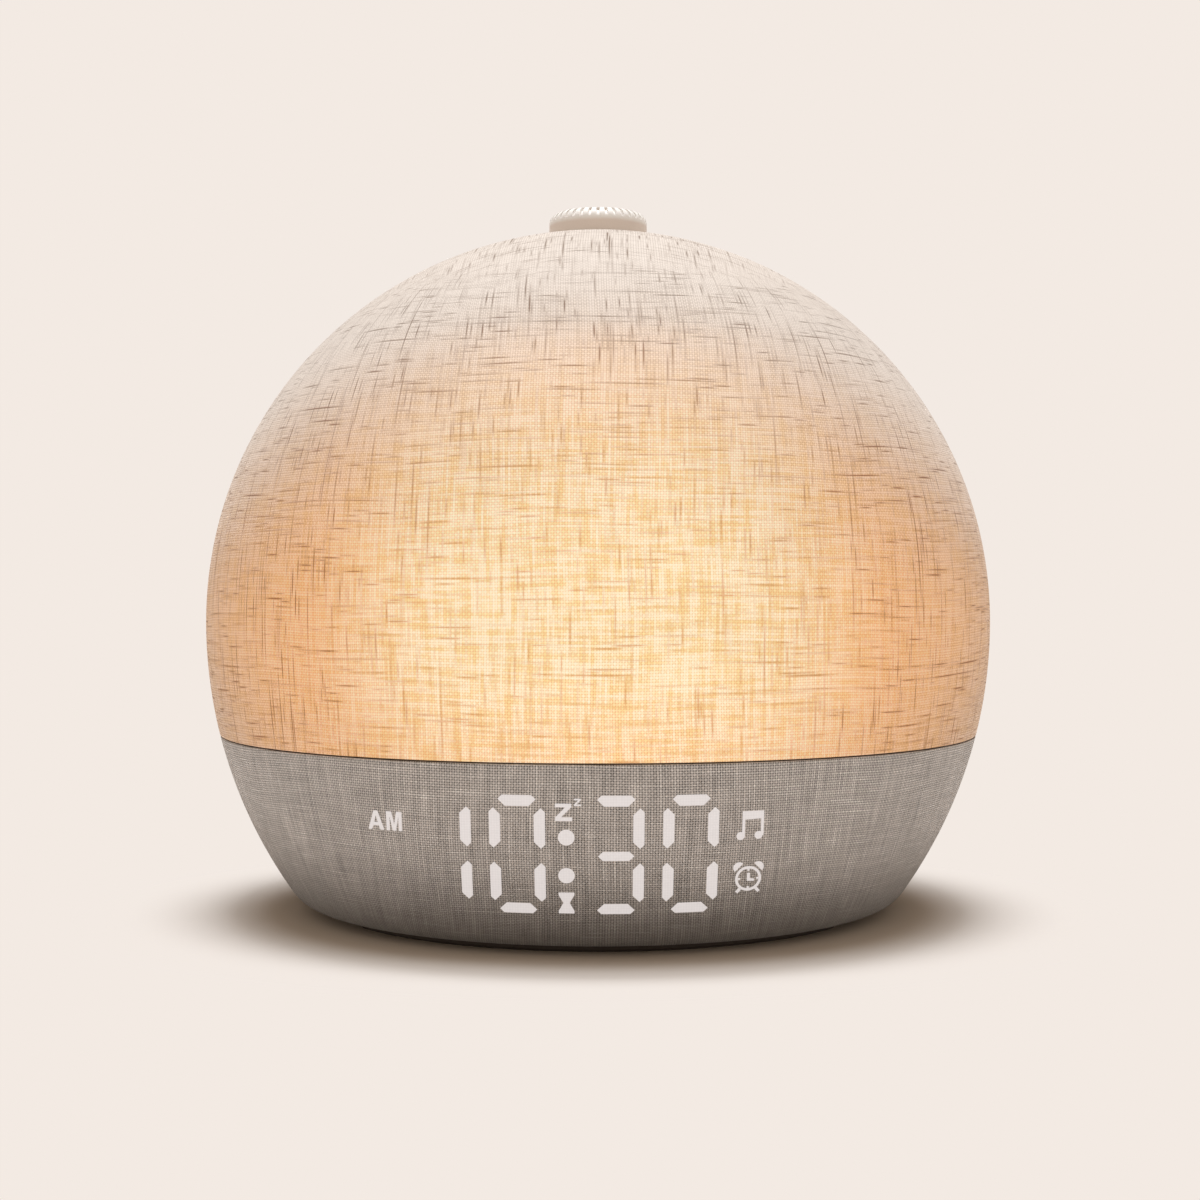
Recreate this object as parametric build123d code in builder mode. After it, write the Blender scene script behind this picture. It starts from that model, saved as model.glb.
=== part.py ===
from build123d import *
from math import asin, cos, degrees, radians, sin, sqrt
import os

# Sunrise alarm clock: a fabric ball lamp on a fabric base with a clock display, a speaker and a knob.
# Millimetres. Z is up, the floor is z = 0, the ball's axis is x = y = 0, and the display looks along -Y.

# ---- Driving dimensions -------------------------------------------------------------------------

# Ball
ball_radius = 75.0              # dome, and the widest girth
side_radius = 88.5              # flatter arc below the girth
underside_drop = 53.5           # girth down to the fabric's underside
corner_radius = 6.2             # where the side turns into the underside
seam_drop = 21.4                # girth down to the seam's middle
seam_gap = 0.5
seam_recess = 0.4               # seam ring's edge below the fabric's face
foot_height = 1.5

# Skins and walls
fabric_thickness = 0.8
glue_gap = 0.15
base_wall = 2.0
diffuser_wall = 1.8
fit_clearance = 0.3             # round parts that drop into each other
seat_clearance = 0.05           # faces that seat on curved walls

# Base plate and feet
plate_margin = 4.4              # underside's sharp edge in to the plate
plate_thickness = 2.0
plate_flange_width = 3.0
plate_flange_thickness = 1.6
pad_margin = 0.8                # plate's edge in to the pads
pad_width = 5.8
pad_recess = 0.5
pad_count = 3
pad_gap_angle = 9.0

# Chassis
chassis_thickness = 2.0
chassis_ledge_width = 2.2
chassis_ledge_height = 5.0
chassis_ledge_front_gap = 84.0  # degrees left open for the display
chassis_rib_inset = 11.5        # edge in to the stiffening rib
post_radius = 3.4
post_gap = 1.1                  # between the speaker box's flange and the posts
post_count = 4
cable_hole_radius = 4.5

# Screws: shank radius, head radius, head height
screw_shank_radius = 1.3
screw_head_radius = 2.5
screw_head_height = 1.7
small_shank_radius = 0.95
small_head_radius = 1.8
small_head_height = 1.3
screw_slack = 0.25              # clearance hole over the shank
screw_bite = 0.02               # pilot hole over the shank, so that threads need no overlap
drive_length = 1.1              # cross recess, as shares of the head's radius
drive_width = 0.25
plate_screw_length = 12.0
dome_screw_length = 7.0
board_screw_length = 4.2
mount_screw_length = 5.0
speaker_screw_length = 4.4

# Dome
dome_flange_width = 10.0
dome_flange_thickness = 2.0
dome_boss_radius = 3.3
dome_boss_height = 6.2
dome_boss_inset = 6.6           # diffuser's inner face in to the bosses
dome_screw_count = 6

# Knob
knob_radius = 9.5
knob_proud = 2.25               # plain band's top over the ball
knob_shoulder_height = 1.95
knob_shoulder_width = 2.6
knob_skirt_wall = 1.6
knob_top_thickness = 1.7
knob_dish_depth = 0.35
knob_hub_radius = 5.0
knob_flute_count = 36
knob_flute_width = 0.6
knob_flute_depth = 0.6
knob_travel = 1.5
knob_floor_gap = 0.6            # left under the skirt when the knob is pressed

# Knob well and encoder
well_gap = 0.4                  # round the knob
well_wall = 1.0
well_rim_drop = 0.75            # rim's top under the ball's top, flush with the fabric there
well_floor_thickness = 1.2
well_flange_thickness = 1.8
well_flange_drop = 6.1          # girth of the flange's top under the top of the dome's axis
well_flange_radius = 18.2
well_screw_circle = 15.9
well_skirt_radius = 13.2
well_skirt_wall = 1.3
well_skirt_length = 18.9
encoder_width = 12.4
encoder_length = 13.2
encoder_height = 6.5
encoder_wall = 1.6
bushing_radius = 3.5
bushing_length = 4.2
bushing_clearance = 0.05
washer_thickness = 0.5
nut_height = 2.0
nut_across_flats = 10.0
shaft_radius = 3.0
shaft_flat_depth = 1.5
shaft_gap_to_cap = 0.3
rotor_radius = 4.4
rotor_height = 1.8
plunger_radius = 1.8
plunger_height = 1.0
encoder_board_radius = 11.3
board_thickness = 1.6
encoder_socket_height = 4.6

# Centre column
column_radius = 6.0
column_wall = 1.5
column_foot_radius = 13.0
column_foot_height = 2.0
column_cap_height = 1.6
column_spigot_height = 2.0
column_spigot_wall = 1.4
column_screw_circle = 9.6
mount_screw_count = 3

# Light engine
led_board_inner = 20.0
led_board_outer = 34.0
led_circle = 27.0
led_count = 24
led_length = 3.5
led_width = 2.8
led_height = 1.0
led_screw_circle = 31.0
led_screw_count = 3
reflector_inner = 36.0
reflector_foot = 2.5
reflector_gap = 0.9             # between the reflector and the dome's bosses
reflector_rise = 4.6
reflector_wall = 1.2

# Display
display_centre_x = -5.05
display_centre_z = 18.3
display_half_width = 35.0
display_half_height = 11.2
display_corner_cut = 5.5
display_depth = 19.5            # display board's face behind the fabric
display_flange_margin = 1.0
display_flange_wall = 1.5
lens_thickness = 3.0
lens_clearance = 0.08
digit_height = 20.35
digit_width = 9.05
digit_pitch = 12.05
digit_pair_gap = 15.9           # centre to centre across the colon
stroke = 1.8
segment_length = 6.1
upright_length = 6.8
middle_length = 5.8
middle_stroke = 1.55
stroke_tip = 0.68               # tip below the stroke's outer edge
colon_radius = 1.33
colon_pitch = 6.54
icon_column_x = 24.9
icon_width = 5.2
icon_height = 5.4
icon_high_z = 22.9
icon_low_z = 13.6
meridiem_x = -35.05
meridiem_width = 6.6
meridiem_height = 4.0
meridiem_z = 23.1
small_icon_width = 4.2
small_icon_height = 4.2
sleep_z = 26.2
timer_z = 10.1

# Main board
main_board_width = 68.0
main_board_depth = 42.0
standoff_height = 3.25
standoff_radius = 2.6
standoff_inset = 4.0
header_length = 8.0
header_width = 5.0
header_height = 2.2
header_wall = 1.0
capacitor_radius = 3.9
capacitor_height = 9.0
capacitor_inset = 3.5
cell_radius = 6.25
cell_thickness = 2.0
holder_wall = 1.1
holder_inset = 16.0             # board's edge in to the cell's middle
holder_y = 6.0
holder_floor = 0.5

# Speaker
speaker_radius = 20.5
speaker_seat_height = 2.0
speaker_gasket_thickness = 0.7
speaker_flange_thickness = 1.0
speaker_opening = 15.6
speaker_screw_circle = 18.4
speaker_screw_count = 4
basket_depth = 7.8              # flange's inner face up to the front plate
basket_wall = 0.8
basket_window_count = 4
basket_window_length = 9.0
basket_window_width = 2.6
terminal_y = 14.8               # where the speaker's leads are soldered
magnet_radius = 11.0
magnet_bore_radius = 6.6
magnet_thickness = 4.0
front_plate_thickness = 2.0
yoke_thickness = 2.0
gap_inner_radius = 4.9
gap_outer_radius = 5.6
coil_wall = 0.34
cone_radius = 13.4
cone_wall = 0.5
cone_depth = 5.2
cone_travel = 1.0
box_radius = 26.0
box_wall = 1.5
box_flange_radius = 31.0
box_headroom = 0.4
box_screw_count = 4
grille_slot_count = 12
grille_slot_width = 2.2
grille_inner = 5.0
grille_outer = 14.6

# Rear panel
rear_centre_z = 17.0
rear_width = 58.0
rear_height = 13.6              # as seen from behind
rear_corner = 5.0
rear_panel_depth = 0.1          # below the fabric's face
rear_panel_wall = 2.0
rear_rim_width = 0.8
rear_flange_margin = 2.0
rear_flange_wall = 1.4
rear_board_inset = 13.0
rear_board_width = 53.0
rear_board_height = 11.6
rear_boss_x = 16.0
rear_boss_y = 3.8
rear_boss_radius = 2.0
button_radius = 3.5
button_clearance = 0.15
button_proud = 0.6
button_inner_x = 10.5
button_outer_x = 21.5
button_flange = 0.5
button_flange_thickness = 1.0
button_stem_radius = 1.7
button_rest_gap = 0.3
button_travel = 0.3
switch_width = 6.0
switch_height = 3.1
switch_plunger_radius = 1.75
switch_plunger_rise = 1.2
jack_flange_radius = 5.4
jack_flange_thickness = 1.2
jack_recess_depth = 1.6
jack_recess_clearance = 0.3
jack_barrel_radius = 4.0
jack_barrel_length = 13.0
jack_bore_radius = 3.15
jack_bore_depth = 9.0
jack_pin_radius = 1.05
jack_seat_radius = 6.0
jack_seat_thickness = 3.2
jack_nut_height = 2.0
jack_nut_across_flats = 10.0

# Cables
led_lead_x = 22.5
led_lead_y = -6.0
encoder_cable_radius = 1.6
wire_radius = 0.7
wire_pitch = 2.0
ribbon_width = 14.0
ribbon_thickness = 0.5
ribbon_front_run = 5.0
ribbon_back_run = 8.0
lead_run = 8.0
lead_shift = 2.0                # power leads' distance above the jack's axis

# ---- Heights and radii that follow ---------------------------------------------------------------

equator_z = foot_height + underside_drop
seam_z = equator_z - seam_drop
base_top_z = seam_z - seam_gap / 2
dome_low_z = seam_z + seam_gap / 2
shell_depth = fabric_thickness + glue_gap
base_inner_depth = shell_depth + base_wall
diffuser_inner_depth = shell_depth + diffuser_wall


def ball_reach(z, depth=0.0):
    """Radius of the ball at a height, a depth inside the fabric's outer face"""
    arc = ball_radius if z > equator_z else side_radius
    return ball_radius - arc + sqrt((arc - depth) ** 2 - (z - equator_z) ** 2)


plate_radius = ball_reach(foot_height) - plate_margin
pad_outer_radius = plate_radius - pad_margin
pad_inner_radius = pad_outer_radius - pad_width
plate_top_z = foot_height + plate_thickness
skirt_hole_radius = plate_radius + fit_clearance
plate_flange_top_z = plate_top_z + plate_flange_thickness
pad_top_z = foot_height + pad_recess

chassis_top_z = dome_low_z
chassis_low_z = chassis_top_z - chassis_thickness
chassis_radius = ball_reach(chassis_low_z, base_inner_depth) - fit_clearance
ledge_inner_radius = chassis_radius - chassis_ledge_width
chassis_rib_radius = chassis_radius - chassis_rib_inset
post_circle_radius = box_flange_radius + post_gap + post_radius
display_back = ball_reach(display_centre_z) - display_depth
post_foot_z = plate_top_z + plate_thickness
post_angles = [45 + 360 / post_count * index for index in range(post_count)]

knob_band_z = equator_z + ball_radius + knob_proud
knob_top_z = knob_band_z + knob_shoulder_height
well_inner_radius = knob_radius + well_gap
well_outer_radius = well_inner_radius + well_wall
well_rim_z = equator_z + ball_radius - well_rim_drop
dome_hole_radius = well_outer_radius + fit_clearance / 2
dome_boss_circle = ball_reach(dome_low_z, diffuser_inner_depth) - dome_boss_inset
reflector_outer = dome_boss_circle - dome_boss_radius - reflector_gap
well_flange_top_z = equator_z + ball_radius - well_flange_drop
well_flange_low_z = well_flange_top_z - well_flange_thickness
well_floor_top_z = well_flange_low_z - well_floor_thickness / 2
well_floor_low_z = well_floor_top_z - well_floor_thickness
knob_low_z = well_floor_top_z + knob_travel + knob_floor_gap
knob_cap_under_z = knob_top_z - knob_top_thickness
bushing_top_z = well_floor_low_z + bushing_length
hub_low_z = bushing_top_z + knob_travel + shaft_gap_to_cap
shaft_top_z = knob_cap_under_z - shaft_gap_to_cap
bushing_hole_radius = bushing_radius + bushing_clearance

encoder_low_z = well_floor_low_z - encoder_height
encoder_board_low_z = encoder_low_z - board_thickness
rotor_top_z = well_floor_low_z - encoder_wall - fit_clearance
rotor_low_z = rotor_top_z - rotor_height
shaft_low_z = rotor_low_z - 2 * seat_clearance
plunger_low_z = shaft_low_z - plunger_height
socket_low_z = encoder_board_low_z - encoder_socket_height
skirt_low_z = well_flange_low_z - well_skirt_length

column_low_z = chassis_top_z
column_top_z = skirt_low_z
column_bore = column_radius - column_wall
column_foot_top_z = column_low_z + column_foot_height

main_board_top_z = chassis_low_z - standoff_height
main_board_low_z = main_board_top_z - board_thickness
header_top_z = main_board_top_z + header_height
ribbon_header_length = ribbon_width + 2 * header_wall
led_board_top_z = chassis_top_z + board_thickness

speaker_seat_z = plate_top_z + speaker_seat_height
box_screw_circle = (box_radius + box_flange_radius) / 2
speaker_flange_low_z = speaker_seat_z + speaker_gasket_thickness
speaker_flange_top_z = speaker_flange_low_z + speaker_flange_thickness
front_plate_low_z = speaker_flange_top_z + basket_depth
front_plate_top_z = front_plate_low_z + front_plate_thickness
magnet_top_z = front_plate_top_z + magnet_thickness
yoke_top_z = magnet_top_z + yoke_thickness
box_inner_top_z = yoke_top_z + box_headroom
box_top_z = box_inner_top_z + box_wall

rear_reach = ball_reach(rear_centre_z)
rear_tilt = asin((equator_z - rear_centre_z) / side_radius)
rear_plane = Plane(
    origin=(0, rear_reach, rear_centre_z), x_dir=(-1, 0, 0), z_dir=(0, cos(rear_tilt), -sin(rear_tilt))
)
rear_view = Plane(origin=(0, 0, 0), x_dir=(-1, 0, 0), z_dir=(0, 1, 0))


def rear_curve(x):
    """How far the level curve through the rear panel's middle has turned forward, x away from it"""
    return rear_reach - sqrt(rear_reach ** 2 - x ** 2)


button_spots = {
    name: (x, -sin(rear_tilt) * rear_curve(x)) for name, x in (
        ("alarm_button", button_outer_x), ("sound_button", button_inner_x),
        ("timer_button", -button_inner_x), ("light_button", -button_outer_x),
    )
}
rear_board_shift = button_spots["alarm_button"][1] / 2


# ---- Profiles shared by several pieces -----------------------------------------------------------


class BallSection(BaseSketchObject):
    """Half section of the ball, a depth inside the fabric's outer face: radius is X, height is Y"""

    def __init__(self, depth=0.0, rotation=0, align=None, mode=Mode.ADD):
        turn = degrees(asin((underside_drop - depth) / (side_radius - depth)))
        with BuildSketch() as section:
            with BuildLine():
                dome = CenterArc((0, equator_z), ball_radius - depth, 0, 90)
                flank = CenterArc((ball_radius - side_radius, equator_z), side_radius - depth, 0, -turn)
                Polyline(flank @ 1, (0, foot_height + depth), dome @ 1)
            make_face()
            if corner_radius > depth:
                corner = section.vertices().group_by(Axis.Y)[0].sort_by(Axis.X)[-1]
                fillet(corner, corner_radius - depth)
        super().__init__(obj=section.sketch, rotation=rotation, align=align, mode=mode)


class WallSection(BaseSketchObject):
    """Half section of the ball's wall between two depths and two heights, outside an inner radius"""

    def __init__(self, outer, inner, low, high, inner_radius=0.0, rotation=0, align=None, mode=Mode.ADD):
        with BuildSketch() as wall:
            BallSection(outer)
            BallSection(inner, mode=Mode.SUBTRACT)
            with Locations((inner_radius, low)):
                Rectangle(2 * ball_radius, high - low, align=(Align.MIN, Align.MIN), mode=Mode.INTERSECT)
        super().__init__(obj=wall.sketch, rotation=rotation, align=align, mode=mode)


class RingSection(BaseSketchObject):
    """Half section of a flat ring: radius is X, height is Y"""

    def __init__(self, inner_radius, outer_radius, low, high, rotation=0, align=None, mode=Mode.ADD):
        with BuildSketch() as ring:
            with Locations((inner_radius, low)):
                Rectangle(outer_radius - inner_radius, high - low, align=(Align.MIN, Align.MIN))
        super().__init__(obj=ring.sketch, rotation=rotation, align=align, mode=mode)


class DisplayOutline(BaseSketchObject):
    """Front outline of the display module: a bar with its lower corners cut, grown by a margin"""

    def __init__(self, margin=0.0, rotation=0, align=None, mode=Mode.ADD):
        side = display_half_width + margin
        rise = display_half_height + margin
        cut = display_corner_cut
        with BuildSketch() as outline:
            with BuildLine():
                Polyline(
                    (-side, rise), (side, rise), (side, cut - rise), (side - cut, -rise),
                    (cut - side, -rise), (-side, cut - rise), close=True,
                )
            make_face()
        moved = outline.sketch.moved(Location((display_centre_x, display_centre_z)))
        super().__init__(obj=moved, rotation=rotation, align=align, mode=mode)


class Stroke(BaseSketchObject):
    """One display stroke along X with pointed ends; its outer edge is up"""

    def __init__(
        self, length, thickness=stroke, tip=stroke_tip, grow=0.0, rotation=0, align=None, mode=Mode.ADD
    ):
        half = length / 2 + grow
        top = thickness / 2 + grow
        point = thickness / 2 - tip
        with BuildSketch() as bar:
            with BuildLine():
                Polyline(
                    (-half, point), (top - point - half, top), (half + point - top, top), (half, point),
                    (half - point - top, -top), (top + point - half, -top), close=True,
                )
            make_face()
        super().__init__(obj=bar.sketch, rotation=rotation, align=align, mode=mode)


class Digit(BaseSketchObject):
    """Seven strokes of one digit, grown by a margin"""

    def __init__(self, grow=0.0, rotation=0, align=None, mode=Mode.ADD):
        side = (digit_width - stroke) / 2
        rise = (digit_height - stroke) / 2
        with BuildSketch() as digit:
            for turn in (0, 180):
                with PolarLocations(rise, 1, start_angle=90 + turn):
                    Stroke(segment_length, grow=grow, rotation=-90)
            for level in (-rise / 2, rise / 2):
                with Locations((-side, level)):
                    Stroke(upright_length, grow=grow, rotation=90)
                with Locations((side, level)):
                    Stroke(upright_length, grow=grow, rotation=-90)
            Stroke(middle_length, middle_stroke, middle_stroke / 2, grow)
        super().__init__(obj=digit.sketch, rotation=rotation, align=align, mode=mode)


digit_places = [
    display_centre_x + side * (digit_pair_gap / 2 + step * digit_pitch)
    for side, step in ((-1, 1), (-1, 0), (1, 0), (1, 1))
]
icon_places = [
    (meridiem_x, meridiem_z, meridiem_width, meridiem_height),
    (icon_column_x, icon_high_z, icon_width, icon_height),
    (icon_column_x, icon_low_z, icon_width, icon_height),
    (display_centre_x, sleep_z, small_icon_width, small_icon_height),
    (display_centre_x, timer_z, small_icon_width, small_icon_height),
]
colon_places = [(display_centre_x, display_centre_z + side * colon_pitch / 2) for side in (-1, 1)]


class DisplayMarks(BaseSketchObject):
    """Every lit mark of the display: four digits, the colon and the windows of the icons"""

    def __init__(self, grow=0.0, rotation=0, align=None, mode=Mode.ADD):
        with BuildSketch() as marks:
            with Locations(*[(x, display_centre_z) for x in digit_places]):
                Digit(grow)
            with Locations(*colon_places):
                Circle(colon_radius + grow)
            for x, z, width, height in icon_places:
                with Locations((x, z)):
                    Rectangle(width + 2 * grow, height + 2 * grow)
        super().__init__(obj=marks.sketch, rotation=rotation, align=align, mode=mode)


class Screw(BasePartObject):
    """Pan-head screw standing on its head's underside, shank down"""

    def __init__(self, length, shank, head, height, rotation=(0, 0, 0), align=None, mode=Mode.ADD):
        with BuildPart() as screw:
            with BuildSketch():
                Circle(shank)
            extrude(amount=-length)
            with BuildSketch():
                Circle(head)
            extrude(amount=height)
            chamfer(screw.edges().filter_by(GeomType.CIRCLE).sort_by(Axis.Z)[-1], height / 3)
            with BuildSketch(Plane.XY.offset(height)):
                Rectangle(head * drive_length, head * drive_width)
                Rectangle(head * drive_width, head * drive_length)
            extrude(amount=-height / 2, mode=Mode.SUBTRACT)
        super().__init__(part=screw.part, rotation=rotation, align=align, mode=mode)


class LargeScrew(Screw):
    """Screw that holds a casing"""

    def __init__(self, length, rotation=(0, 0, 0), align=None, mode=Mode.ADD):
        sizes = (screw_shank_radius, screw_head_radius, screw_head_height)
        super().__init__(length, *sizes, rotation=rotation, align=align, mode=mode)


class SmallScrew(Screw):
    """Screw that holds a board or a driver"""

    def __init__(self, length, rotation=(0, 0, 0), align=None, mode=Mode.ADD):
        sizes = (small_shank_radius, small_head_radius, small_head_height)
        super().__init__(length, *sizes, rotation=rotation, align=align, mode=mode)


class RearWindow(BaseSketchObject):
    """Rear window as seen from behind, grown by a margin"""

    def __init__(self, margin=0.0, rotation=0, align=None, mode=Mode.ADD):
        with BuildSketch() as window:
            with Locations((0, rear_centre_z)):
                RectangleRounded(rear_width + 2 * margin, rear_height + 2 * margin, rear_corner + margin)
        super().__init__(obj=window.sketch, rotation=rotation, align=align, mode=mode)


class RearPatch(BasePartObject):
    """Patch of the ball's wall between two depths, trimmed to the rear window grown by a margin"""

    def __init__(self, outer, inner, margin=0.0, rotation=(0, 0, 0), align=None, mode=Mode.ADD):
        with BuildPart() as patch:
            with BuildSketch(Plane.XZ):
                WallSection(outer, inner, foot_height, seam_z)
            revolve(axis=Axis.Z)
            with BuildSketch(rear_view):
                RearWindow(margin)
            extrude(amount=ball_radius, mode=Mode.INTERSECT)
        super().__init__(part=patch.part, rotation=rotation, align=align, mode=mode)


class BallVolume(BasePartObject):
    """The whole ball, a depth inside the fabric's outer face"""

    def __init__(self, depth=0.0, rotation=(0, 0, 0), align=None, mode=Mode.ADD):
        with BuildPart() as ball:
            with BuildSketch(Plane.XZ):
                BallSection(depth)
            revolve(axis=Axis.Z)
        super().__init__(part=ball.part, rotation=rotation, align=align, mode=mode)


class Tube(BasePartObject):
    """Wire through a list of points with rounded bends"""

    def __init__(self, points, radius, bend, rotation=(0, 0, 0), align=None, mode=Mode.ADD):
        with BuildPart() as wire:
            with BuildLine() as path:
                FilletPolyline(*points, radius=bend)
            with BuildSketch(Plane(origin=path.line @ 0, z_dir=path.line % 0)):
                Circle(radius)
            sweep()
        super().__init__(part=wire.part, rotation=rotation, align=align, mode=mode)


# ---- Base casing ---------------------------------------------------------------------------------

with BuildPart() as base_fabric:
    with BuildSketch(Plane.XZ):
        WallSection(0, fabric_thickness, foot_height, base_top_z, skirt_hole_radius)
    revolve(axis=Axis.Z)
    with BuildSketch(rear_view):
        RearWindow(fit_clearance / 2)
    extrude(amount=ball_radius, mode=Mode.SUBTRACT)
base_fabric.part.label = "base_fabric"
export_step(base_fabric.part, "parts/base_fabric.step")

ledge_start = radians(chassis_ledge_front_gap / 2 - 90)
ledge_plane = Plane(
    origin=(0, 0, 0),
    x_dir=(cos(ledge_start), sin(ledge_start), 0),
    z_dir=(sin(ledge_start), -cos(ledge_start), 0),
)
ledge_low_z = chassis_low_z - chassis_ledge_height
ledge_root = base_wall / 4      # how far the ledge's root sinks into the wall

with BuildPart() as base_shell:
    with BuildSketch(Plane.XZ):
        WallSection(shell_depth, base_inner_depth, foot_height, base_top_z, skirt_hole_radius)
        RingSection(
            plate_radius - plate_flange_width, plate_radius + base_wall, plate_top_z, plate_flange_top_z,
        )
    revolve(axis=Axis.Z)
    with BuildSketch(ledge_plane):
        with BuildLine():
            Polyline(
                (ledge_inner_radius, chassis_low_z),
                (ball_reach(chassis_low_z, base_inner_depth) + ledge_root, chassis_low_z),
                (ball_reach(ledge_low_z, base_inner_depth) + ledge_root, ledge_low_z),
                (ledge_inner_radius, chassis_low_z - chassis_ledge_width / 2),
                close=True,
            )
        make_face()
    revolve(axis=Axis.Z, revolution_arc=360 - chassis_ledge_front_gap)
    with BuildSketch(Plane.XZ):
        DisplayOutline(fit_clearance)
    extrude(amount=ball_radius, mode=Mode.SUBTRACT)
    with BuildSketch(rear_view):
        RearWindow(fit_clearance / 2)
    extrude(amount=ball_radius, mode=Mode.SUBTRACT)
base_shell.part.label = "base_shell"
export_step(base_shell.part, "parts/base_shell.step")

with BuildPart() as base_plate:
    with BuildSketch(Plane.XY.offset(foot_height)):
        Circle(plate_radius)
    extrude(amount=plate_thickness)
    chamfer(base_plate.edges().filter_by(GeomType.CIRCLE).sort_by(Axis.Z)[0], plate_thickness / 8)
    with BuildSketch(Plane.XY.offset(plate_top_z)):
        Circle(box_flange_radius)
        Circle(speaker_opening, mode=Mode.SUBTRACT)
    extrude(amount=speaker_seat_height)
    with BuildSketch(Plane.XY.offset(plate_top_z)):
        with PolarLocations(post_circle_radius, post_count, start_angle=post_angles[0]):
            Circle(post_radius)
    extrude(amount=post_foot_z - plate_top_z)
    with BuildSketch(Plane.XY.offset(foot_height)):
        Circle(pad_outer_radius + seat_clearance)
        Circle(pad_inner_radius - seat_clearance, mode=Mode.SUBTRACT)
    extrude(amount=pad_recess, mode=Mode.SUBTRACT)
    with BuildSketch(Plane.XY.offset(foot_height)):
        with PolarLocations((grille_inner + grille_outer) / 2, grille_slot_count):
            SlotOverall(grille_outer - grille_inner, grille_slot_width)
        Circle(grille_slot_width)
    extrude(amount=plate_thickness, mode=Mode.SUBTRACT)
    with Locations(Plane.XY.offset(foot_height).rotated((0, 180, 0))):
        with PolarLocations(post_circle_radius, post_count, start_angle=post_angles[0]):
            CounterBoreHole(
                screw_shank_radius + screw_slack, screw_head_radius + screw_slack,
                screw_head_height + screw_slack, post_foot_z - foot_height,
            )
    for circle, count in ((speaker_screw_circle, speaker_screw_count), (box_screw_circle, box_screw_count)):
        with Locations(Plane.XY.offset(speaker_seat_z)):
            with PolarLocations(circle, count, start_angle=45):
                Hole(small_shank_radius + screw_bite, speaker_screw_length - speaker_flange_thickness)
base_plate.part.label = "base_plate"
export_step(base_plate.part, "parts/base_plate.step")

pad_gap = pad_outer_radius * radians(pad_gap_angle)
with BuildPart() as foot_pads:
    with BuildSketch():
        Circle(pad_outer_radius)
        Circle(pad_inner_radius, mode=Mode.SUBTRACT)
        with PolarLocations(0, pad_count, start_angle=90):
            with Locations((pad_outer_radius, 0)):
                Rectangle(2 * pad_outer_radius, pad_gap, mode=Mode.SUBTRACT)
    extrude(amount=pad_top_z)
    chamfer(foot_pads.edges().group_by(Axis.Z)[0].filter_by(GeomType.CIRCLE), pad_recess)
foot_pads.part.label = "foot_pads"
export_step(foot_pads.part, "parts/foot_pads.step")

plate_screw_seat_z = foot_height + screw_head_height + screw_slack
with BuildPart() as base_plate_screws:
    with Locations(Plane.XY.offset(plate_screw_seat_z).rotated((0, 180, 0))):
        with PolarLocations(post_circle_radius, post_count, start_angle=post_angles[0]):
            LargeScrew(plate_screw_length)
base_plate_screws.part.label = "base_plate_screws"
export_step(base_plate_screws.part, "parts/base_plate_screws.step")

with BuildPart() as seam_ring:
    with BuildSketch(Plane.XZ):
        RingSection(
            chassis_radius + fit_clearance, ball_reach(seam_z, seam_recess), base_top_z, dome_low_z,
        )
    revolve(axis=Axis.Z)
seam_ring.part.label = "seam_ring"
export_step(seam_ring.part, "parts/seam_ring.step")

# ---- Chassis, light engine and centre column -----------------------------------------------------

standoff_x = main_board_width / 2 - standoff_inset
standoff_y = main_board_depth / 2 - standoff_inset
with BuildPart() as chassis:
    with BuildSketch(Plane.XY.offset(chassis_low_z)):
        Circle(chassis_radius)
        Circle(cable_hole_radius, mode=Mode.SUBTRACT)
    extrude(amount=chassis_thickness)
    with BuildSketch(Plane.XY.offset(chassis_low_z)):
        Circle(chassis_rib_radius)
        Circle(chassis_rib_radius - chassis_thickness / 2, mode=Mode.SUBTRACT)
    extrude(amount=-chassis_thickness)
    with BuildSketch(Plane.XY.offset(post_foot_z)):
        with PolarLocations(post_circle_radius, post_count, start_angle=post_angles[0]):
            Circle(post_radius)
    extrude(amount=chassis_low_z - post_foot_z)
    with BuildSketch(Plane.XY.offset(main_board_top_z)):
        with GridLocations(2 * standoff_x, 2 * standoff_y, 2, 2):
            Circle(standoff_radius)
    extrude(amount=standoff_height)
    with BuildSketch(Plane.XY.offset(chassis_low_z)):
        with PolarLocations(column_screw_circle, mount_screw_count, start_angle=90):
            Circle(small_shank_radius * 2)
        with PolarLocations(led_screw_circle, led_screw_count):
            Circle(small_shank_radius * 2)
    extrude(amount=-chassis_thickness)
    with Locations(Plane.XY.offset(chassis_top_z)):
        with PolarLocations(column_screw_circle, mount_screw_count, start_angle=90):
            Hole(small_shank_radius + screw_bite, 2 * chassis_thickness)
        with PolarLocations(led_screw_circle, led_screw_count):
            Hole(small_shank_radius + screw_bite, 2 * chassis_thickness)
        with PolarLocations(dome_boss_circle, dome_screw_count):
            Hole(screw_shank_radius + screw_slack, chassis_thickness)
        with Locations((led_lead_x, led_lead_y)):
            Hole(wire_pitch, chassis_thickness)
    with Locations(Plane.XY.offset(post_foot_z).rotated((0, 180, 0))):
        with PolarLocations(post_circle_radius, post_count, start_angle=post_angles[0]):
            Hole(screw_shank_radius + screw_bite, plate_screw_length)
    with Locations(Plane.XY.offset(main_board_top_z).rotated((0, 180, 0))):
        with GridLocations(2 * standoff_x, 2 * standoff_y, 2, 2):
            Hole(small_shank_radius + screw_bite, board_screw_length)
chassis.part.label = "chassis"
export_step(chassis.part, "parts/chassis.step")

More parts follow.
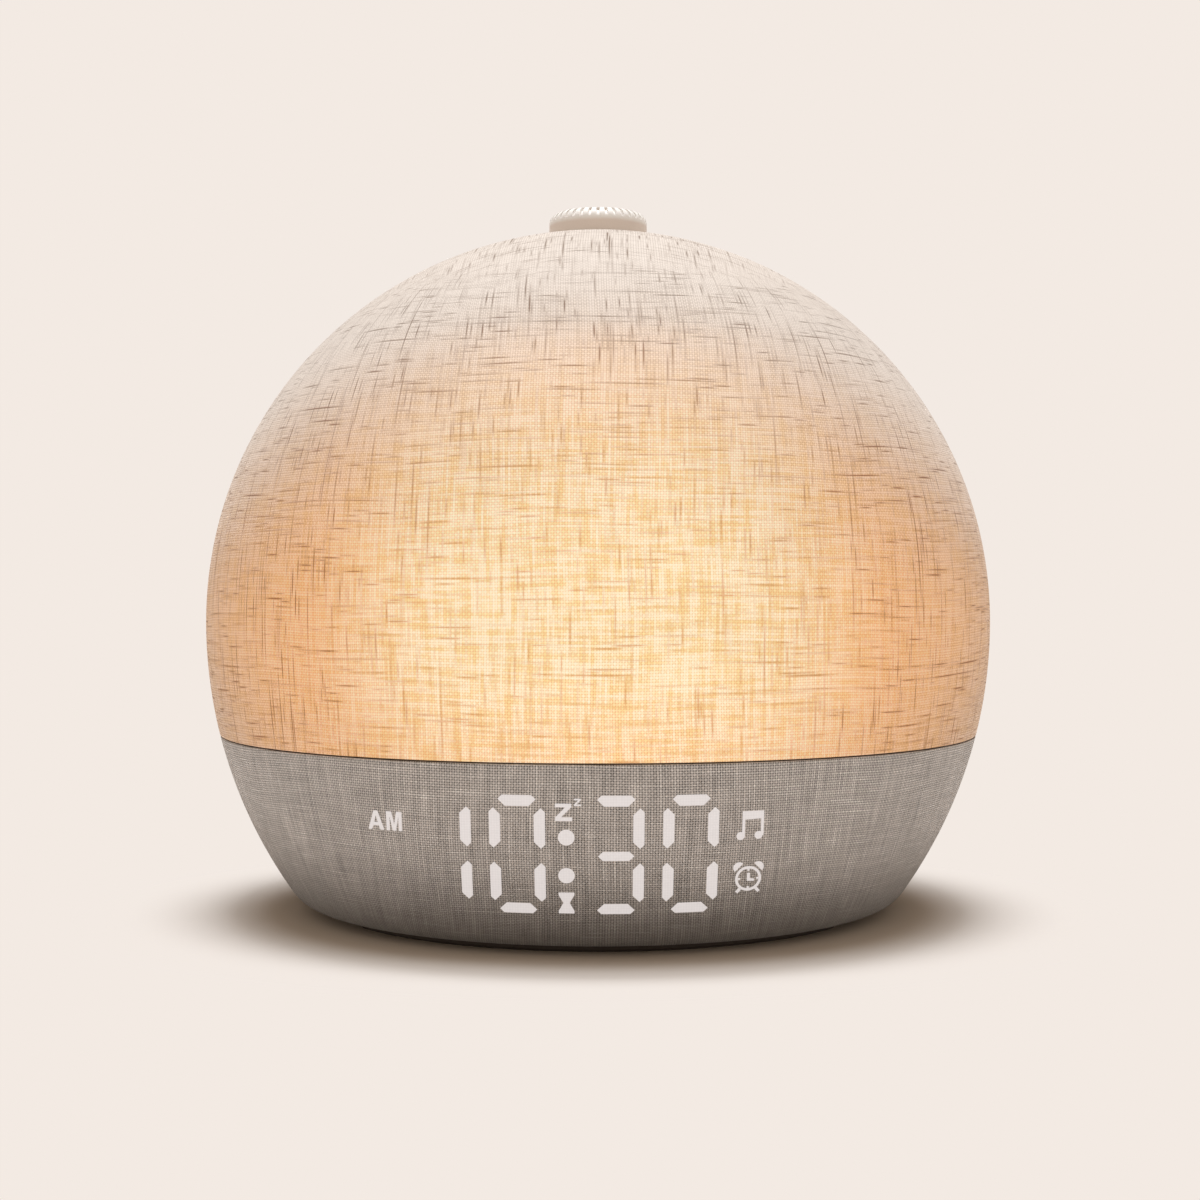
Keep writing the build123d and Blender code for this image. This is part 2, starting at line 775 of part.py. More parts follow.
with BuildPart() as led_board:
    with BuildSketch(Plane.XY.offset(chassis_top_z)):
        Circle(led_board_outer)
        Circle(led_board_inner, mode=Mode.SUBTRACT)
        with PolarLocations(led_screw_circle, led_screw_count):
            Circle(small_shank_radius + screw_slack, mode=Mode.SUBTRACT)
    extrude(amount=board_thickness)
led_board.part.label = "led_board"
export_step(led_board.part, "parts/led_board.step")

with BuildPart() as led_emitters:
    with BuildSketch(Plane.XY.offset(led_board_top_z)):
        with PolarLocations(led_circle, led_count, start_angle=180 / led_count):
            Rectangle(led_length, led_width)
    extrude(amount=led_height)
led_emitters.part.label = "led_emitters"
export_step(led_emitters.part, "parts/led_emitters.step")

with BuildPart() as reflector:
    with BuildSketch(Plane.XZ):
        with BuildLine():
            Polyline(
                (reflector_inner, chassis_top_z),
                (reflector_inner + reflector_foot, chassis_top_z),
                (reflector_outer, chassis_top_z + reflector_rise - reflector_wall),
                (reflector_outer, chassis_top_z + reflector_rise),
                (reflector_inner + reflector_foot, chassis_top_z + reflector_wall),
                (reflector_inner, chassis_top_z + reflector_wall),
                close=True,
            )
        make_face()
    revolve(axis=Axis.Z)
reflector.part.label = "reflector"
export_step(reflector.part, "parts/reflector.step")

with BuildPart() as centre_column:
    with BuildSketch(Plane.XZ):
        RingSection(column_bore, column_radius, column_low_z, column_top_z)
        RingSection(column_bore, column_foot_radius, column_low_z, column_foot_top_z)
        RingSection(column_bore, well_skirt_radius, column_top_z - column_cap_height, column_top_z)
        RingSection(
            well_skirt_radius - well_skirt_wall - seat_clearance - column_spigot_wall,
            well_skirt_radius - well_skirt_wall - seat_clearance,
            column_top_z - column_cap_height, column_top_z + column_spigot_height,
        )
    revolve(axis=Axis.Z)
    with Locations(Plane.XY.offset(column_foot_top_z)):
        with PolarLocations(column_screw_circle, mount_screw_count, start_angle=90):
            Hole(small_shank_radius + screw_slack, column_foot_height)
centre_column.part.label = "centre_column"
export_step(centre_column.part, "parts/centre_column.step")

# ---- Dome ----------------------------------------------------------------------------------------

dome_flange_inner = ball_reach(dome_low_z, diffuser_inner_depth) - dome_flange_width
dome_flange_top_z = dome_low_z + dome_flange_thickness
with BuildPart() as dome_diffuser:
    with BuildSketch(Plane.XZ):
        WallSection(
            shell_depth, diffuser_inner_depth, dome_low_z, equator_z + ball_radius, dome_hole_radius,
        )
        RingSection(
            dome_flange_inner, ball_reach(dome_low_z, diffuser_inner_depth) + diffuser_wall / 2,
            dome_low_z, dome_flange_top_z,
        )
    revolve(axis=Axis.Z)
    with BuildSketch(Plane.XZ):
        RingSection(dome_hole_radius, well_flange_radius, well_flange_top_z, equator_z + ball_radius)
        BallSection(shell_depth + diffuser_wall / 2, mode=Mode.INTERSECT)
    revolve(axis=Axis.Z)
    with BuildSketch(Plane.XY.offset(dome_low_z)):
        with PolarLocations(dome_boss_circle, dome_screw_count):
            Circle(dome_boss_radius)
    extrude(amount=dome_boss_height)
    with Locations(Plane.XY.offset(dome_low_z).rotated((0, 180, 0))):
        with PolarLocations(dome_boss_circle, dome_screw_count):
            Hole(screw_shank_radius + screw_bite, dome_screw_length - chassis_thickness)
    with Locations(Plane.XY.offset(well_flange_top_z).rotated((0, 180, 0))):
        with PolarLocations(well_screw_circle, mount_screw_count, start_angle=90):
            Hole(small_shank_radius + screw_bite)
dome_diffuser.part.label = "dome_diffuser"
export_step(dome_diffuser.part, "parts/dome_diffuser.step")

with BuildPart() as dome_fabric:
    with BuildSketch(Plane.XZ):
        WallSection(0, fabric_thickness, dome_low_z, equator_z + ball_radius, dome_hole_radius)
    revolve(axis=Axis.Z)
dome_fabric.part.label = "dome_fabric"
export_step(dome_fabric.part, "parts/dome_fabric.step")

with BuildPart() as dome_screws:
    with Locations(Plane.XY.offset(chassis_low_z).rotated((0, 180, 0))):
        with PolarLocations(dome_boss_circle, dome_screw_count):
            LargeScrew(dome_screw_length)
dome_screws.part.label = "dome_screws"
export_step(dome_screws.part, "parts/dome_screws.step")

# ---- Knob and encoder ----------------------------------------------------------------------------

with BuildPart() as knob_well:
    with BuildSketch(Plane.XZ):
        RingSection(well_inner_radius, well_outer_radius, well_floor_low_z, well_rim_z)
        RingSection(bushing_hole_radius, well_outer_radius, well_floor_low_z, well_floor_top_z)
        RingSection(well_inner_radius, well_flange_radius, well_flange_low_z, well_flange_top_z)
        RingSection(well_skirt_radius - well_skirt_wall, well_skirt_radius, skirt_low_z, well_flange_top_z)
    revolve(axis=Axis.Z)
    with Locations(Plane.XY.offset(well_flange_top_z)):
        with PolarLocations(well_screw_circle, mount_screw_count, start_angle=90):
            Hole(small_shank_radius + screw_slack, well_flange_thickness)
knob_well.part.label = "knob_well"
export_step(knob_well.part, "parts/knob_well.step")

with BuildPart() as knob_mount_screws:
    with Locations(Plane.XY.offset(well_flange_low_z).rotated((0, 180, 0))):
        with PolarLocations(well_screw_circle, mount_screw_count, start_angle=90):
            SmallScrew(mount_screw_length)
    with Locations(Plane.XY.offset(column_foot_top_z)):
        with PolarLocations(column_screw_circle, mount_screw_count, start_angle=90):
            SmallScrew(mount_screw_length)
knob_mount_screws.part.label = "knob_mount_screws"
export_step(knob_mount_screws.part, "parts/knob_mount_screws.step")


class KnobFlute(BasePartObject):
    """Groove that follows the knob's rounded shoulder, cut flute_depth deep"""

    def __init__(self, rotation=(0, 0, 0), align=None, mode=Mode.ADD):
        inner = knob_radius - knob_shoulder_width
        cutter = (2 * knob_shoulder_width, 2 * knob_shoulder_height)
        with BuildPart() as flute:
            with BuildSketch(Plane.XZ):
                with Locations((inner, knob_band_z)):
                    Rectangle(*cutter, align=(Align.MIN, Align.MIN))
                    Ellipse(
                        knob_shoulder_width - knob_flute_depth, knob_shoulder_height - knob_flute_depth,
                        mode=Mode.SUBTRACT,
                    )
            extrude(amount=knob_flute_width / 2, both=True)
        super().__init__(part=flute.part, rotation=rotation, align=align, mode=mode)


with BuildPart() as knob_cap:
    with BuildSketch(Plane.XZ):
        with BuildLine():
            shoulder = EllipticalCenterArc(
                (knob_radius - knob_shoulder_width, knob_band_z), knob_shoulder_width, knob_shoulder_height,
                start_angle=0, arc_size=90,
            )
            Line((knob_radius, knob_low_z), (knob_radius, knob_band_z))
            rim = shoulder @ 1
            Line(rim, (rim.X - knob_dish_depth * 2, knob_top_z - knob_dish_depth))
            Polyline(
                (rim.X - knob_dish_depth * 2, knob_top_z - knob_dish_depth),
                (0, knob_top_z - knob_dish_depth), (0, knob_low_z), (knob_radius, knob_low_z),
            )
        make_face()
        RingSection(
            knob_hub_radius, knob_radius - knob_skirt_wall, knob_low_z, knob_cap_under_z,
            mode=Mode.SUBTRACT,
        )
        RingSection(0, knob_hub_radius, knob_low_z, hub_low_z, mode=Mode.SUBTRACT)
    revolve(axis=Axis.Z)
    with PolarLocations(0, knob_flute_count):
        KnobFlute(mode=Mode.SUBTRACT)
    with BuildSketch(Plane.XY.offset(hub_low_z)):
        Circle(shaft_radius + bushing_clearance)
        with Locations((0, shaft_radius - shaft_flat_depth + bushing_clearance + knob_hub_radius)):
            Rectangle(2 * knob_hub_radius, 2 * knob_hub_radius, mode=Mode.SUBTRACT)
    extrude(amount=knob_cap_under_z - hub_low_z, mode=Mode.SUBTRACT)
knob_cap.part.label = "knob_cap"
export_step(knob_cap.part, "parts/knob_cap.step")

with BuildPart() as encoder_shaft:
    with BuildSketch(Plane.XY.offset(shaft_low_z)):
        Circle(shaft_radius)
    extrude(amount=shaft_top_z - shaft_low_z)
    chamfer(encoder_shaft.edges().filter_by(GeomType.CIRCLE).sort_by(Axis.Z)[-1], shaft_gap_to_cap)
    with BuildSketch(Plane.XY.offset(hub_low_z)):
        with Locations((0, shaft_radius - shaft_flat_depth)):
            Rectangle(2 * shaft_radius, shaft_radius, align=(Align.CENTER, Align.MIN))
    extrude(amount=shaft_top_z - hub_low_z, mode=Mode.SUBTRACT)
encoder_shaft.part.label = "encoder_shaft"
export_step(encoder_shaft.part, "parts/encoder_shaft.step")

with BuildPart() as encoder_body:
    with BuildSketch(Plane.XY.offset(encoder_low_z)):
        Rectangle(encoder_width, encoder_length)
    extrude(amount=encoder_height)
    with BuildSketch(Plane.XY.offset(well_floor_low_z)):
        Circle(bushing_radius)
    extrude(amount=bushing_length)
    with BuildSketch(Plane.XY.offset(encoder_low_z)):
        Circle(rotor_radius + fit_clearance)
    extrude(amount=encoder_height - encoder_wall, mode=Mode.SUBTRACT)
    with BuildSketch(Plane.XY.offset(encoder_low_z)):
        Circle(shaft_radius + bushing_clearance)
    extrude(amount=encoder_height + bushing_length, mode=Mode.SUBTRACT)
encoder_body.part.label = "encoder_body"
export_step(encoder_body.part, "parts/encoder_body.step")

with BuildPart() as encoder_rotor:
    with BuildSketch(Plane.XY.offset(rotor_low_z)):
        Circle(rotor_radius)
        Circle(shaft_radius + bushing_clearance, mode=Mode.SUBTRACT)
    extrude(amount=rotor_height)
encoder_rotor.part.label = "encoder_rotor"
export_step(encoder_rotor.part, "parts/encoder_rotor.step")

with BuildPart() as encoder_plunger:
    with BuildSketch(Plane.XY.offset(plunger_low_z)):
        Circle(plunger_radius)
    extrude(amount=plunger_height)
encoder_plunger.part.label = "encoder_plunger"
export_step(encoder_plunger.part, "parts/encoder_plunger.step")

with BuildPart() as encoder_board:
    with BuildSketch(Plane.XY.offset(encoder_board_low_z)):
        Circle(encoder_board_radius)
    extrude(amount=board_thickness)
    with BuildSketch(Plane.XY.offset(encoder_board_low_z)):
        Rectangle(header_length, header_width)
    extrude(amount=-encoder_socket_height)
encoder_board.part.label = "encoder_board"
export_step(encoder_board.part, "parts/encoder_board.step")

with BuildPart() as encoder_washer:
    with BuildSketch(Plane.XY.offset(well_floor_top_z)):
        Circle(nut_across_flats / 2 + washer_thickness)
        Circle(bushing_hole_radius, mode=Mode.SUBTRACT)
    extrude(amount=washer_thickness)
encoder_washer.part.label = "encoder_washer"
export_step(encoder_washer.part, "parts/encoder_washer.step")

with BuildPart() as encoder_nut:
    with BuildSketch(Plane.XY.offset(well_floor_top_z + washer_thickness)):
        RegularPolygon(nut_across_flats / 2, 6, major_radius=False)
        Circle(bushing_hole_radius, mode=Mode.SUBTRACT)
    extrude(amount=nut_height)
encoder_nut.part.label = "encoder_nut"
export_step(encoder_nut.part, "parts/encoder_nut.step")

with BuildPart() as encoder_cable:
    with BuildSketch(Plane.XY.offset(header_top_z)):
        Circle(encoder_cable_radius)
    extrude(amount=socket_low_z - header_top_z)
encoder_cable.part.label = "encoder_cable"
export_step(encoder_cable.part, "parts/encoder_cable.step")

# ---- Display -------------------------------------------------------------------------------------

display_flange_depth = base_inner_depth + seat_clearance
display_inner_depth = display_flange_depth + display_flange_wall
display_flange_low_z = foot_height + display_inner_depth + fit_clearance
display_screw_xs = (digit_places[0], digit_places[3])
display_screw_zs = (display_centre_z - digit_height / 4, display_centre_z + digit_height / 4)
display_header_z = display_centre_z + display_half_height / 2


class DisplayFlange(BasePartObject):
    """Edge of the display module that lies behind the base shell's wall"""

    def __init__(self, rotation=(0, 0, 0), align=None, mode=Mode.ADD):
        with BuildPart() as flange:
            with BuildSketch(Plane.XZ):
                WallSection(display_flange_depth, display_inner_depth, display_flange_low_z, chassis_low_z)
            revolve(axis=Axis.Z)
            with BuildSketch(Plane.XZ.offset(display_back)):
                DisplayOutline(display_flange_margin)
            extrude(amount=ball_radius, mode=Mode.INTERSECT)
        super().__init__(part=flange.part, rotation=rotation, align=align, mode=mode)


with BuildPart() as display_housing:
    with BuildSketch(Plane.XZ.offset(display_back)):
        DisplayOutline()
    extrude(amount=ball_radius)
    BallVolume(shell_depth, mode=Mode.INTERSECT)
    DisplayFlange()
    with BuildSketch(Plane.XZ.offset(display_back)):
        DisplayMarks(lens_clearance)
    extrude(amount=ball_radius, mode=Mode.SUBTRACT)
    with Locations(rear_view.offset(-display_back)):
        with Locations(*[(-x, z) for x in display_screw_xs for z in display_screw_zs]):
            Hole(small_shank_radius + screw_bite, board_screw_length)
display_housing.part.label = "display_housing"
export_step(display_housing.part, "parts/display_housing.step")

with BuildPart() as display_lenses:
    with BuildSketch(Plane.XZ.offset(display_back)):
        DisplayMarks()
    extrude(amount=ball_radius)
    BallVolume(shell_depth + seat_clearance, mode=Mode.INTERSECT)
    BallVolume(shell_depth + lens_thickness, mode=Mode.SUBTRACT)
display_lenses.part.label = "display_lenses"
export_step(display_lenses.part, "parts/display_lenses.step")

with BuildPart() as display_board:
    with BuildSketch(Plane.XZ.offset(display_back - board_thickness)):
        DisplayOutline(-display_flange_wall)
    extrude(amount=board_thickness)
    BallVolume(display_inner_depth + fit_clearance, mode=Mode.INTERSECT)
    with BuildSketch(Plane.XZ.offset(display_back - board_thickness)):
        with Locations(*[(x, z) for x in display_screw_xs for z in display_screw_zs]):
            Circle(small_shank_radius + screw_slack)
    extrude(amount=board_thickness, mode=Mode.SUBTRACT)
    with BuildSketch(Plane.XZ.offset(display_back - board_thickness)):
        with Locations((display_centre_x, display_header_z)):
            Rectangle(ribbon_header_length, header_width)
    extrude(amount=-header_height)
display_board.part.label = "display_board"
export_step(display_board.part, "parts/display_board.step")

with BuildPart() as display_leds:
    with BuildSketch(Plane.XZ.offset(display_back)):
        for x in digit_places:
            for dx, dz in (
                (0, 0), (0, 1), (0, -1), (1, 0.5), (1, -0.5), (-1, 0.5), (-1, -0.5),
            ):
                side = (digit_width - stroke) / 2
                rise = (digit_height - stroke) / 2
                with Locations((x + dx * side, display_centre_z + dz * rise)):
                    Rectangle(stroke / 2, stroke / 2)
        with Locations(*colon_places):
            Rectangle(stroke / 2, stroke / 2)
        for x, z, width, height in icon_places:
            with Locations((x, z)):
                Rectangle(stroke / 2, stroke / 2)
    extrude(amount=stroke / 3)
display_leds.part.label = "display_leds"
export_step(display_leds.part, "parts/display_leds.step")

# ---- Speaker -------------------------------------------------------------------------------------

with BuildPart() as speaker_gasket:
    with BuildSketch(Plane.XY.offset(speaker_seat_z)):
        Circle(speaker_radius)
        Circle(speaker_opening, mode=Mode.SUBTRACT)
        with PolarLocations(speaker_screw_circle, speaker_screw_count, start_angle=45):
            Circle(small_shank_radius + screw_slack, mode=Mode.SUBTRACT)
    extrude(amount=speaker_gasket_thickness)
speaker_gasket.part.label = "speaker_gasket"
export_step(speaker_gasket.part, "parts/speaker_gasket.step")

basket_step_z = speaker_flange_top_z + basket_depth / 4
basket_neck_z = front_plate_low_z - basket_depth / 4
terminal_top_z = basket_neck_z
with BuildPart() as speaker_basket:
    with BuildSketch(Plane.XZ):
        RingSection(speaker_opening, speaker_radius, speaker_flange_low_z, speaker_flange_top_z)
        with BuildLine():
            Polyline(
                (speaker_opening, speaker_flange_low_z),
                (speaker_opening + basket_wall, speaker_flange_low_z),
                (speaker_opening + basket_wall, basket_step_z),
                (magnet_radius + basket_wall, basket_neck_z),
                (magnet_radius + basket_wall, front_plate_low_z),
                (magnet_radius, front_plate_low_z),
                (magnet_radius, basket_neck_z),
                (speaker_opening, basket_step_z),
                close=True,
            )
        make_face()
        RingSection(gap_outer_radius, magnet_radius + basket_wall, front_plate_low_z, front_plate_top_z)
    revolve(axis=Axis.Z)
    with BuildSketch(Plane.XY.offset(basket_step_z)):
        with PolarLocations((speaker_opening + magnet_radius) / 2, basket_window_count, start_angle=45):
            SlotOverall(basket_window_length, basket_window_width, rotation=90)
    extrude(amount=basket_neck_z - basket_step_z, mode=Mode.SUBTRACT)
    with BuildSketch(Plane.XY.offset(basket_step_z)):
        with Locations((0, terminal_y)):
            Rectangle(3 * wire_pitch, 2 * (speaker_opening - terminal_y))
    extrude(amount=terminal_top_z - basket_step_z)
    with Locations(Plane.XY.offset(speaker_flange_top_z)):
        with PolarLocations(speaker_screw_circle, speaker_screw_count, start_angle=45):
            Hole(small_shank_radius + screw_slack, speaker_flange_thickness)
speaker_basket.part.label = "speaker_basket"
export_step(speaker_basket.part, "parts/speaker_basket.step")

with BuildPart() as speaker_magnet:
    with BuildSketch(Plane.XY.offset(front_plate_top_z)):
        Circle(magnet_radius)
        Circle(magnet_bore_radius, mode=Mode.SUBTRACT)
    extrude(amount=magnet_thickness)
speaker_magnet.part.label = "speaker_magnet"
export_step(speaker_magnet.part, "parts/speaker_magnet.step")

with BuildPart() as speaker_yoke:
    with BuildSketch(Plane.XZ):
        RingSection(0, magnet_radius - basket_wall, magnet_top_z, yoke_top_z)
        RingSection(0, gap_inner_radius, front_plate_low_z, magnet_top_z)
    revolve(axis=Axis.Z)
speaker_yoke.part.label = "speaker_yoke"
export_step(speaker_yoke.part, "parts/speaker_yoke.step")

coil_inner = (gap_inner_radius + gap_outer_radius - coil_wall) / 2
coil_outer = coil_inner + coil_wall
cone_low_z = speaker_flange_low_z + cone_wall
cone_neck_z = cone_low_z + cone_depth
with BuildPart() as speaker_cone:
    with BuildSketch(Plane.XZ):
        with BuildLine():
            Polyline(
                (cone_radius, cone_low_z), (cone_radius, cone_low_z + cone_wall),
                (coil_outer, cone_neck_z + cone_wall), (0, cone_neck_z + cone_wall),
                (0, cone_neck_z - coil_outer / 2), (coil_inner / 2, cone_neck_z - coil_outer / 2.5),
                (coil_outer, cone_neck_z - cone_wall), close=True,
            )
        make_face()
    revolve(axis=Axis.Z)
    with BuildSketch(Plane.XY.offset(cone_neck_z + cone_wall)):
        Circle(coil_inner)
    extrude(amount=-2 * cone_wall, mode=Mode.SUBTRACT)
speaker_cone.part.label = "speaker_cone"
export_step(speaker_cone.part, "parts/speaker_cone.step")

coil_top_z = magnet_top_z - cone_travel - box_headroom
with BuildPart() as speaker_voice_coil:
    with BuildSketch(Plane.XY.offset(cone_neck_z + cone_wall)):
        Circle(coil_outer)
        Circle(coil_inner, mode=Mode.SUBTRACT)
    extrude(amount=coil_top_z - cone_neck_z - cone_wall)
speaker_voice_coil.part.label = "speaker_voice_coil"
export_step(speaker_voice_coil.part, "parts/speaker_voice_coil.step")

roll_radius = (speaker_opening - cone_radius) / 2
with BuildPart() as speaker_surround:
    with BuildSketch(Plane.XZ):
        with BuildLine():
            Polyline(
                (cone_radius, cone_low_z + cone_wall), (cone_radius, cone_low_z),
                (cone_radius + roll_radius, cone_low_z - roll_radius),
                (speaker_opening, cone_low_z), (speaker_opening, cone_low_z + cone_wall),
                (cone_radius + roll_radius, cone_low_z - roll_radius + cone_wall), close=True,
            )
        make_face()
    revolve(axis=Axis.Z)
speaker_surround.part.label = "speaker_surround"
export_step(speaker_surround.part, "parts/speaker_surround.step")

spider_low_z = basket_neck_z + cone_wall
with BuildPart() as speaker_spider:
    with BuildSketch(Plane.XZ):
        with BuildLine():
            Polyline(
                (coil_outer, spider_low_z - cone_wall), (coil_outer, spider_low_z),
                (magnet_radius, spider_low_z + 2 * cone_wall), (magnet_radius, spider_low_z + cone_wall),
                close=True,
            )
        make_face()
    revolve(axis=Axis.Z)
speaker_spider.part.label = "speaker_spider"
export_step(speaker_spider.part, "parts/speaker_spider.step")

with BuildPart() as speaker_box:
    with BuildSketch(Plane.XZ):
        RingSection(box_radius - box_wall, box_radius, speaker_seat_z, box_top_z)
        RingSection(0, box_radius, box_inner_top_z, box_top_z)
        RingSection(box_radius - box_wall, box_flange_radius, speaker_seat_z, speaker_seat_z + box_wall)
    revolve(axis=Axis.Z)
    with Locations(Plane.XY.offset(box_top_z)):
        with Locations((0, terminal_y)):
            Hole(wire_pitch, box_wall)
    with Locations(Plane.XY.offset(speaker_seat_z + box_wall)):
        with PolarLocations(box_screw_circle, box_screw_count, start_angle=45):
            Hole(small_shank_radius + screw_slack, box_wall)
speaker_box.part.label = "speaker_box"
export_step(speaker_box.part, "parts/speaker_box.step")

with BuildPart() as speaker_screws:
    with Locations(Plane.XY.offset(speaker_flange_top_z)):
        with PolarLocations(speaker_screw_circle, speaker_screw_count, start_angle=45):
            SmallScrew(speaker_screw_length)
    with Locations(Plane.XY.offset(speaker_seat_z + box_wall)):
        with PolarLocations(box_screw_circle, box_screw_count, start_angle=45):
            SmallScrew(speaker_screw_length)
speaker_screws.part.label = "speaker_screws"
export_step(speaker_screws.part, "parts/speaker_screws.step")

# ---- Main board ----------------------------------------------------------------------------------

holder_x = main_board_width / 2 - holder_inset
power_header_x = -9.0
edge_header_y = main_board_depth / 2 - header_width / 2
capacitor_x = main_board_width / 2 - capacitor_inset

with BuildPart() as main_board:
    with BuildSketch(Plane.XY.offset(main_board_low_z)):
        RectangleRounded(main_board_width, main_board_depth, 2 * board_thickness)
        with GridLocations(2 * standoff_x, 2 * standoff_y, 2, 2):
            Circle(small_shank_radius + screw_slack, mode=Mode.SUBTRACT)
    extrude(amount=board_thickness)
main_board.part.label = "main_board"
export_step(main_board.part, "parts/main_board.step")

chips = [
    (-17.0, 3.0, 10.0, 10.0, 1.2),      # processor
    (-16.0, -11.0, 5.0, 4.0, 1.4),      # memory
    (12.0, -12.0, 5.0, 5.0, 1.0),       # audio amplifier
    (20.0, -14.0, 5.0, 5.0, 2.6),       # inductor
    (-25.0, -6.0, 3.2, 1.5, 0.8),       # crystal
]
with BuildPart() as main_board_parts:
    for x, y, width, depth, height in chips:
        with BuildSketch(Plane.XY.offset(main_board_top_z)):
            with Locations((x, y)):
                Rectangle(width, depth)
        extrude(amount=height)
    with BuildSketch(Plane.XY.offset(main_board_top_z)):
        Rectangle(header_length, header_width)
        with Locations((power_header_x, edge_header_y)):
            Rectangle(header_length, header_width)
        with Locations((display_centre_x, -edge_header_y)):
            Rectangle(ribbon_header_length, header_width)
    extrude(amount=header_height)
    with BuildSketch(Plane.XY.offset(main_board_low_z)):
        with Locations((-capacitor_x, 0), (capacitor_x, 0)):
            Circle(capacitor_radius)
    extrude(amount=-capacitor_height)
main_board_parts.part.label = "main_board_parts"
export_step(main_board_parts.part, "parts/main_board_parts.step")

holder_inner = cell_radius + fit_clearance / 2
with BuildPart() as coin_cell_holder:
    with BuildSketch(Plane.XY.offset(main_board_top_z)):
        with Locations((holder_x, holder_y)):
            Circle(holder_inner + holder_wall)
    extrude(amount=holder_floor + cell_thickness + fit_clearance)
    with BuildSketch(Plane.XY.offset(main_board_top_z + holder_floor)):
        with Locations((holder_x, holder_y)):
            Circle(holder_inner)
        with Locations((holder_x, holder_y + cell_radius)):
            Rectangle(cell_radius, cell_radius)
    extrude(amount=cell_thickness + fit_clearance, mode=Mode.SUBTRACT)
coin_cell_holder.part.label = "coin_cell_holder"
export_step(coin_cell_holder.part, "parts/coin_cell_holder.step")

with BuildPart() as coin_cell:
    with BuildSketch(Plane.XY.offset(main_board_top_z + holder_floor)):
        with Locations((holder_x, holder_y)):
            Circle(cell_radius)
    extrude(amount=cell_thickness)
    chamfer(coin_cell.edges().filter_by(GeomType.CIRCLE), fit_clearance)
coin_cell.part.label = "coin_cell"
export_step(coin_cell.part, "parts/coin_cell.step")

# ---- Rear panel, jack and buttons ----------------------------------------------------------------

panel_inner_depth = rear_panel_depth + rear_panel_wall
rear_flange_depth = base_inner_depth + seat_clearance
rear_flange_inner = rear_flange_depth + rear_flange_wall
rear_board_face = rear_plane.offset(-rear_board_inset)
rear_board_back = rear_plane.offset(-rear_board_inset - board_thickness)
jack_seat = rear_plane.offset(-jack_recess_depth)
jack_nut_plane = rear_plane.offset(-jack_recess_depth - jack_seat_thickness)

with BuildPart() as rear_panel:
    RearPatch(rear_flange_depth, rear_flange_inner, rear_flange_margin)
    RearPatch(rear_panel_depth, rear_flange_inner)
    RearPatch(panel_inner_depth, rear_flange_inner + base_wall, -rear_rim_width, mode=Mode.SUBTRACT)
    with BuildSketch(rear_board_face):
        with Locations((0, rear_board_shift)):
            with GridLocations(2 * rear_boss_x, 2 * rear_boss_y, 2, 2):
                Circle(rear_boss_radius)
    extrude(amount=rear_board_inset)
    with BuildSketch(jack_nut_plane):
        Circle(jack_seat_radius)
    extrude(amount=jack_recess_depth + jack_seat_thickness)
    BallVolume(rear_panel_depth, mode=Mode.INTERSECT)
    with BuildSketch(jack_seat):
        Circle(jack_flange_radius + jack_recess_clearance)
    extrude(amount=rear_board_inset, mode=Mode.SUBTRACT)
    with BuildSketch(rear_plane):
        Circle(jack_barrel_radius + bushing_clearance)
        with Locations(*button_spots.values()):
            Circle(button_radius + button_clearance)
    extrude(amount=rear_board_inset - switch_height, both=True, mode=Mode.SUBTRACT)
    with Locations(-rear_board_face):
        with Locations((0, -rear_board_shift)):
            with GridLocations(2 * rear_boss_x, 2 * rear_boss_y, 2, 2):
                Hole(small_shank_radius + screw_bite, board_screw_length - board_thickness + fit_clearance)
rear_panel.part.label = "rear_panel"
export_step(rear_panel.part, "parts/rear_panel.step")

with BuildPart() as power_jack:
    with BuildSketch(jack_seat):
        Circle(jack_flange_radius)
    extrude(amount=jack_flange_thickness)
    with BuildSketch(jack_seat):
        Circle(jack_barrel_radius)
    extrude(amount=-jack_barrel_length)
    with BuildSketch(jack_seat.offset(jack_flange_thickness)):
        Circle(jack_bore_radius)
        Circle(jack_pin_radius, mode=Mode.SUBTRACT)
    extrude(amount=-jack_bore_depth, mode=Mode.SUBTRACT)
power_jack.part.label = "power_jack"
export_step(power_jack.part, "parts/power_jack.step")

with BuildPart() as power_jack_nut:
    with BuildSketch(jack_nut_plane):
        RegularPolygon(jack_nut_across_flats / 2, 6, major_radius=False, rotation=30)
        Circle(jack_barrel_radius + bushing_clearance, mode=Mode.SUBTRACT)
    extrude(amount=-jack_nut_height)
power_jack_nut.part.label = "power_jack_nut"
export_step(power_jack_nut.part, "parts/power_jack_nut.step")

with BuildPart() as io_board:
    with BuildSketch(rear_board_face):
        with Locations((0, rear_board_shift)):
            RectangleRounded(rear_board_width, rear_board_height, board_thickness)
            with GridLocations(2 * rear_boss_x, 2 * rear_boss_y, 2, 2):
                Circle(small_shank_radius + screw_slack, mode=Mode.SUBTRACT)
        Circle(jack_barrel_radius + fit_clearance, mode=Mode.SUBTRACT)
    extrude(amount=-board_thickness)
io_board.part.label = "io_board"
export_step(io_board.part, "parts/io_board.step")

with BuildPart() as button_switches:
    with BuildSketch(rear_board_face):
        with Locations(*button_spots.values()):
            Rectangle(switch_width, switch_width)
            Circle(switch_plunger_radius + bushing_clearance, mode=Mode.SUBTRACT)
    extrude(amount=switch_height)
button_switches.part.label = "button_switches"
export_step(button_switches.part, "parts/button_switches.step")

plunger_top = switch_height + switch_plunger_rise - rear_board_inset


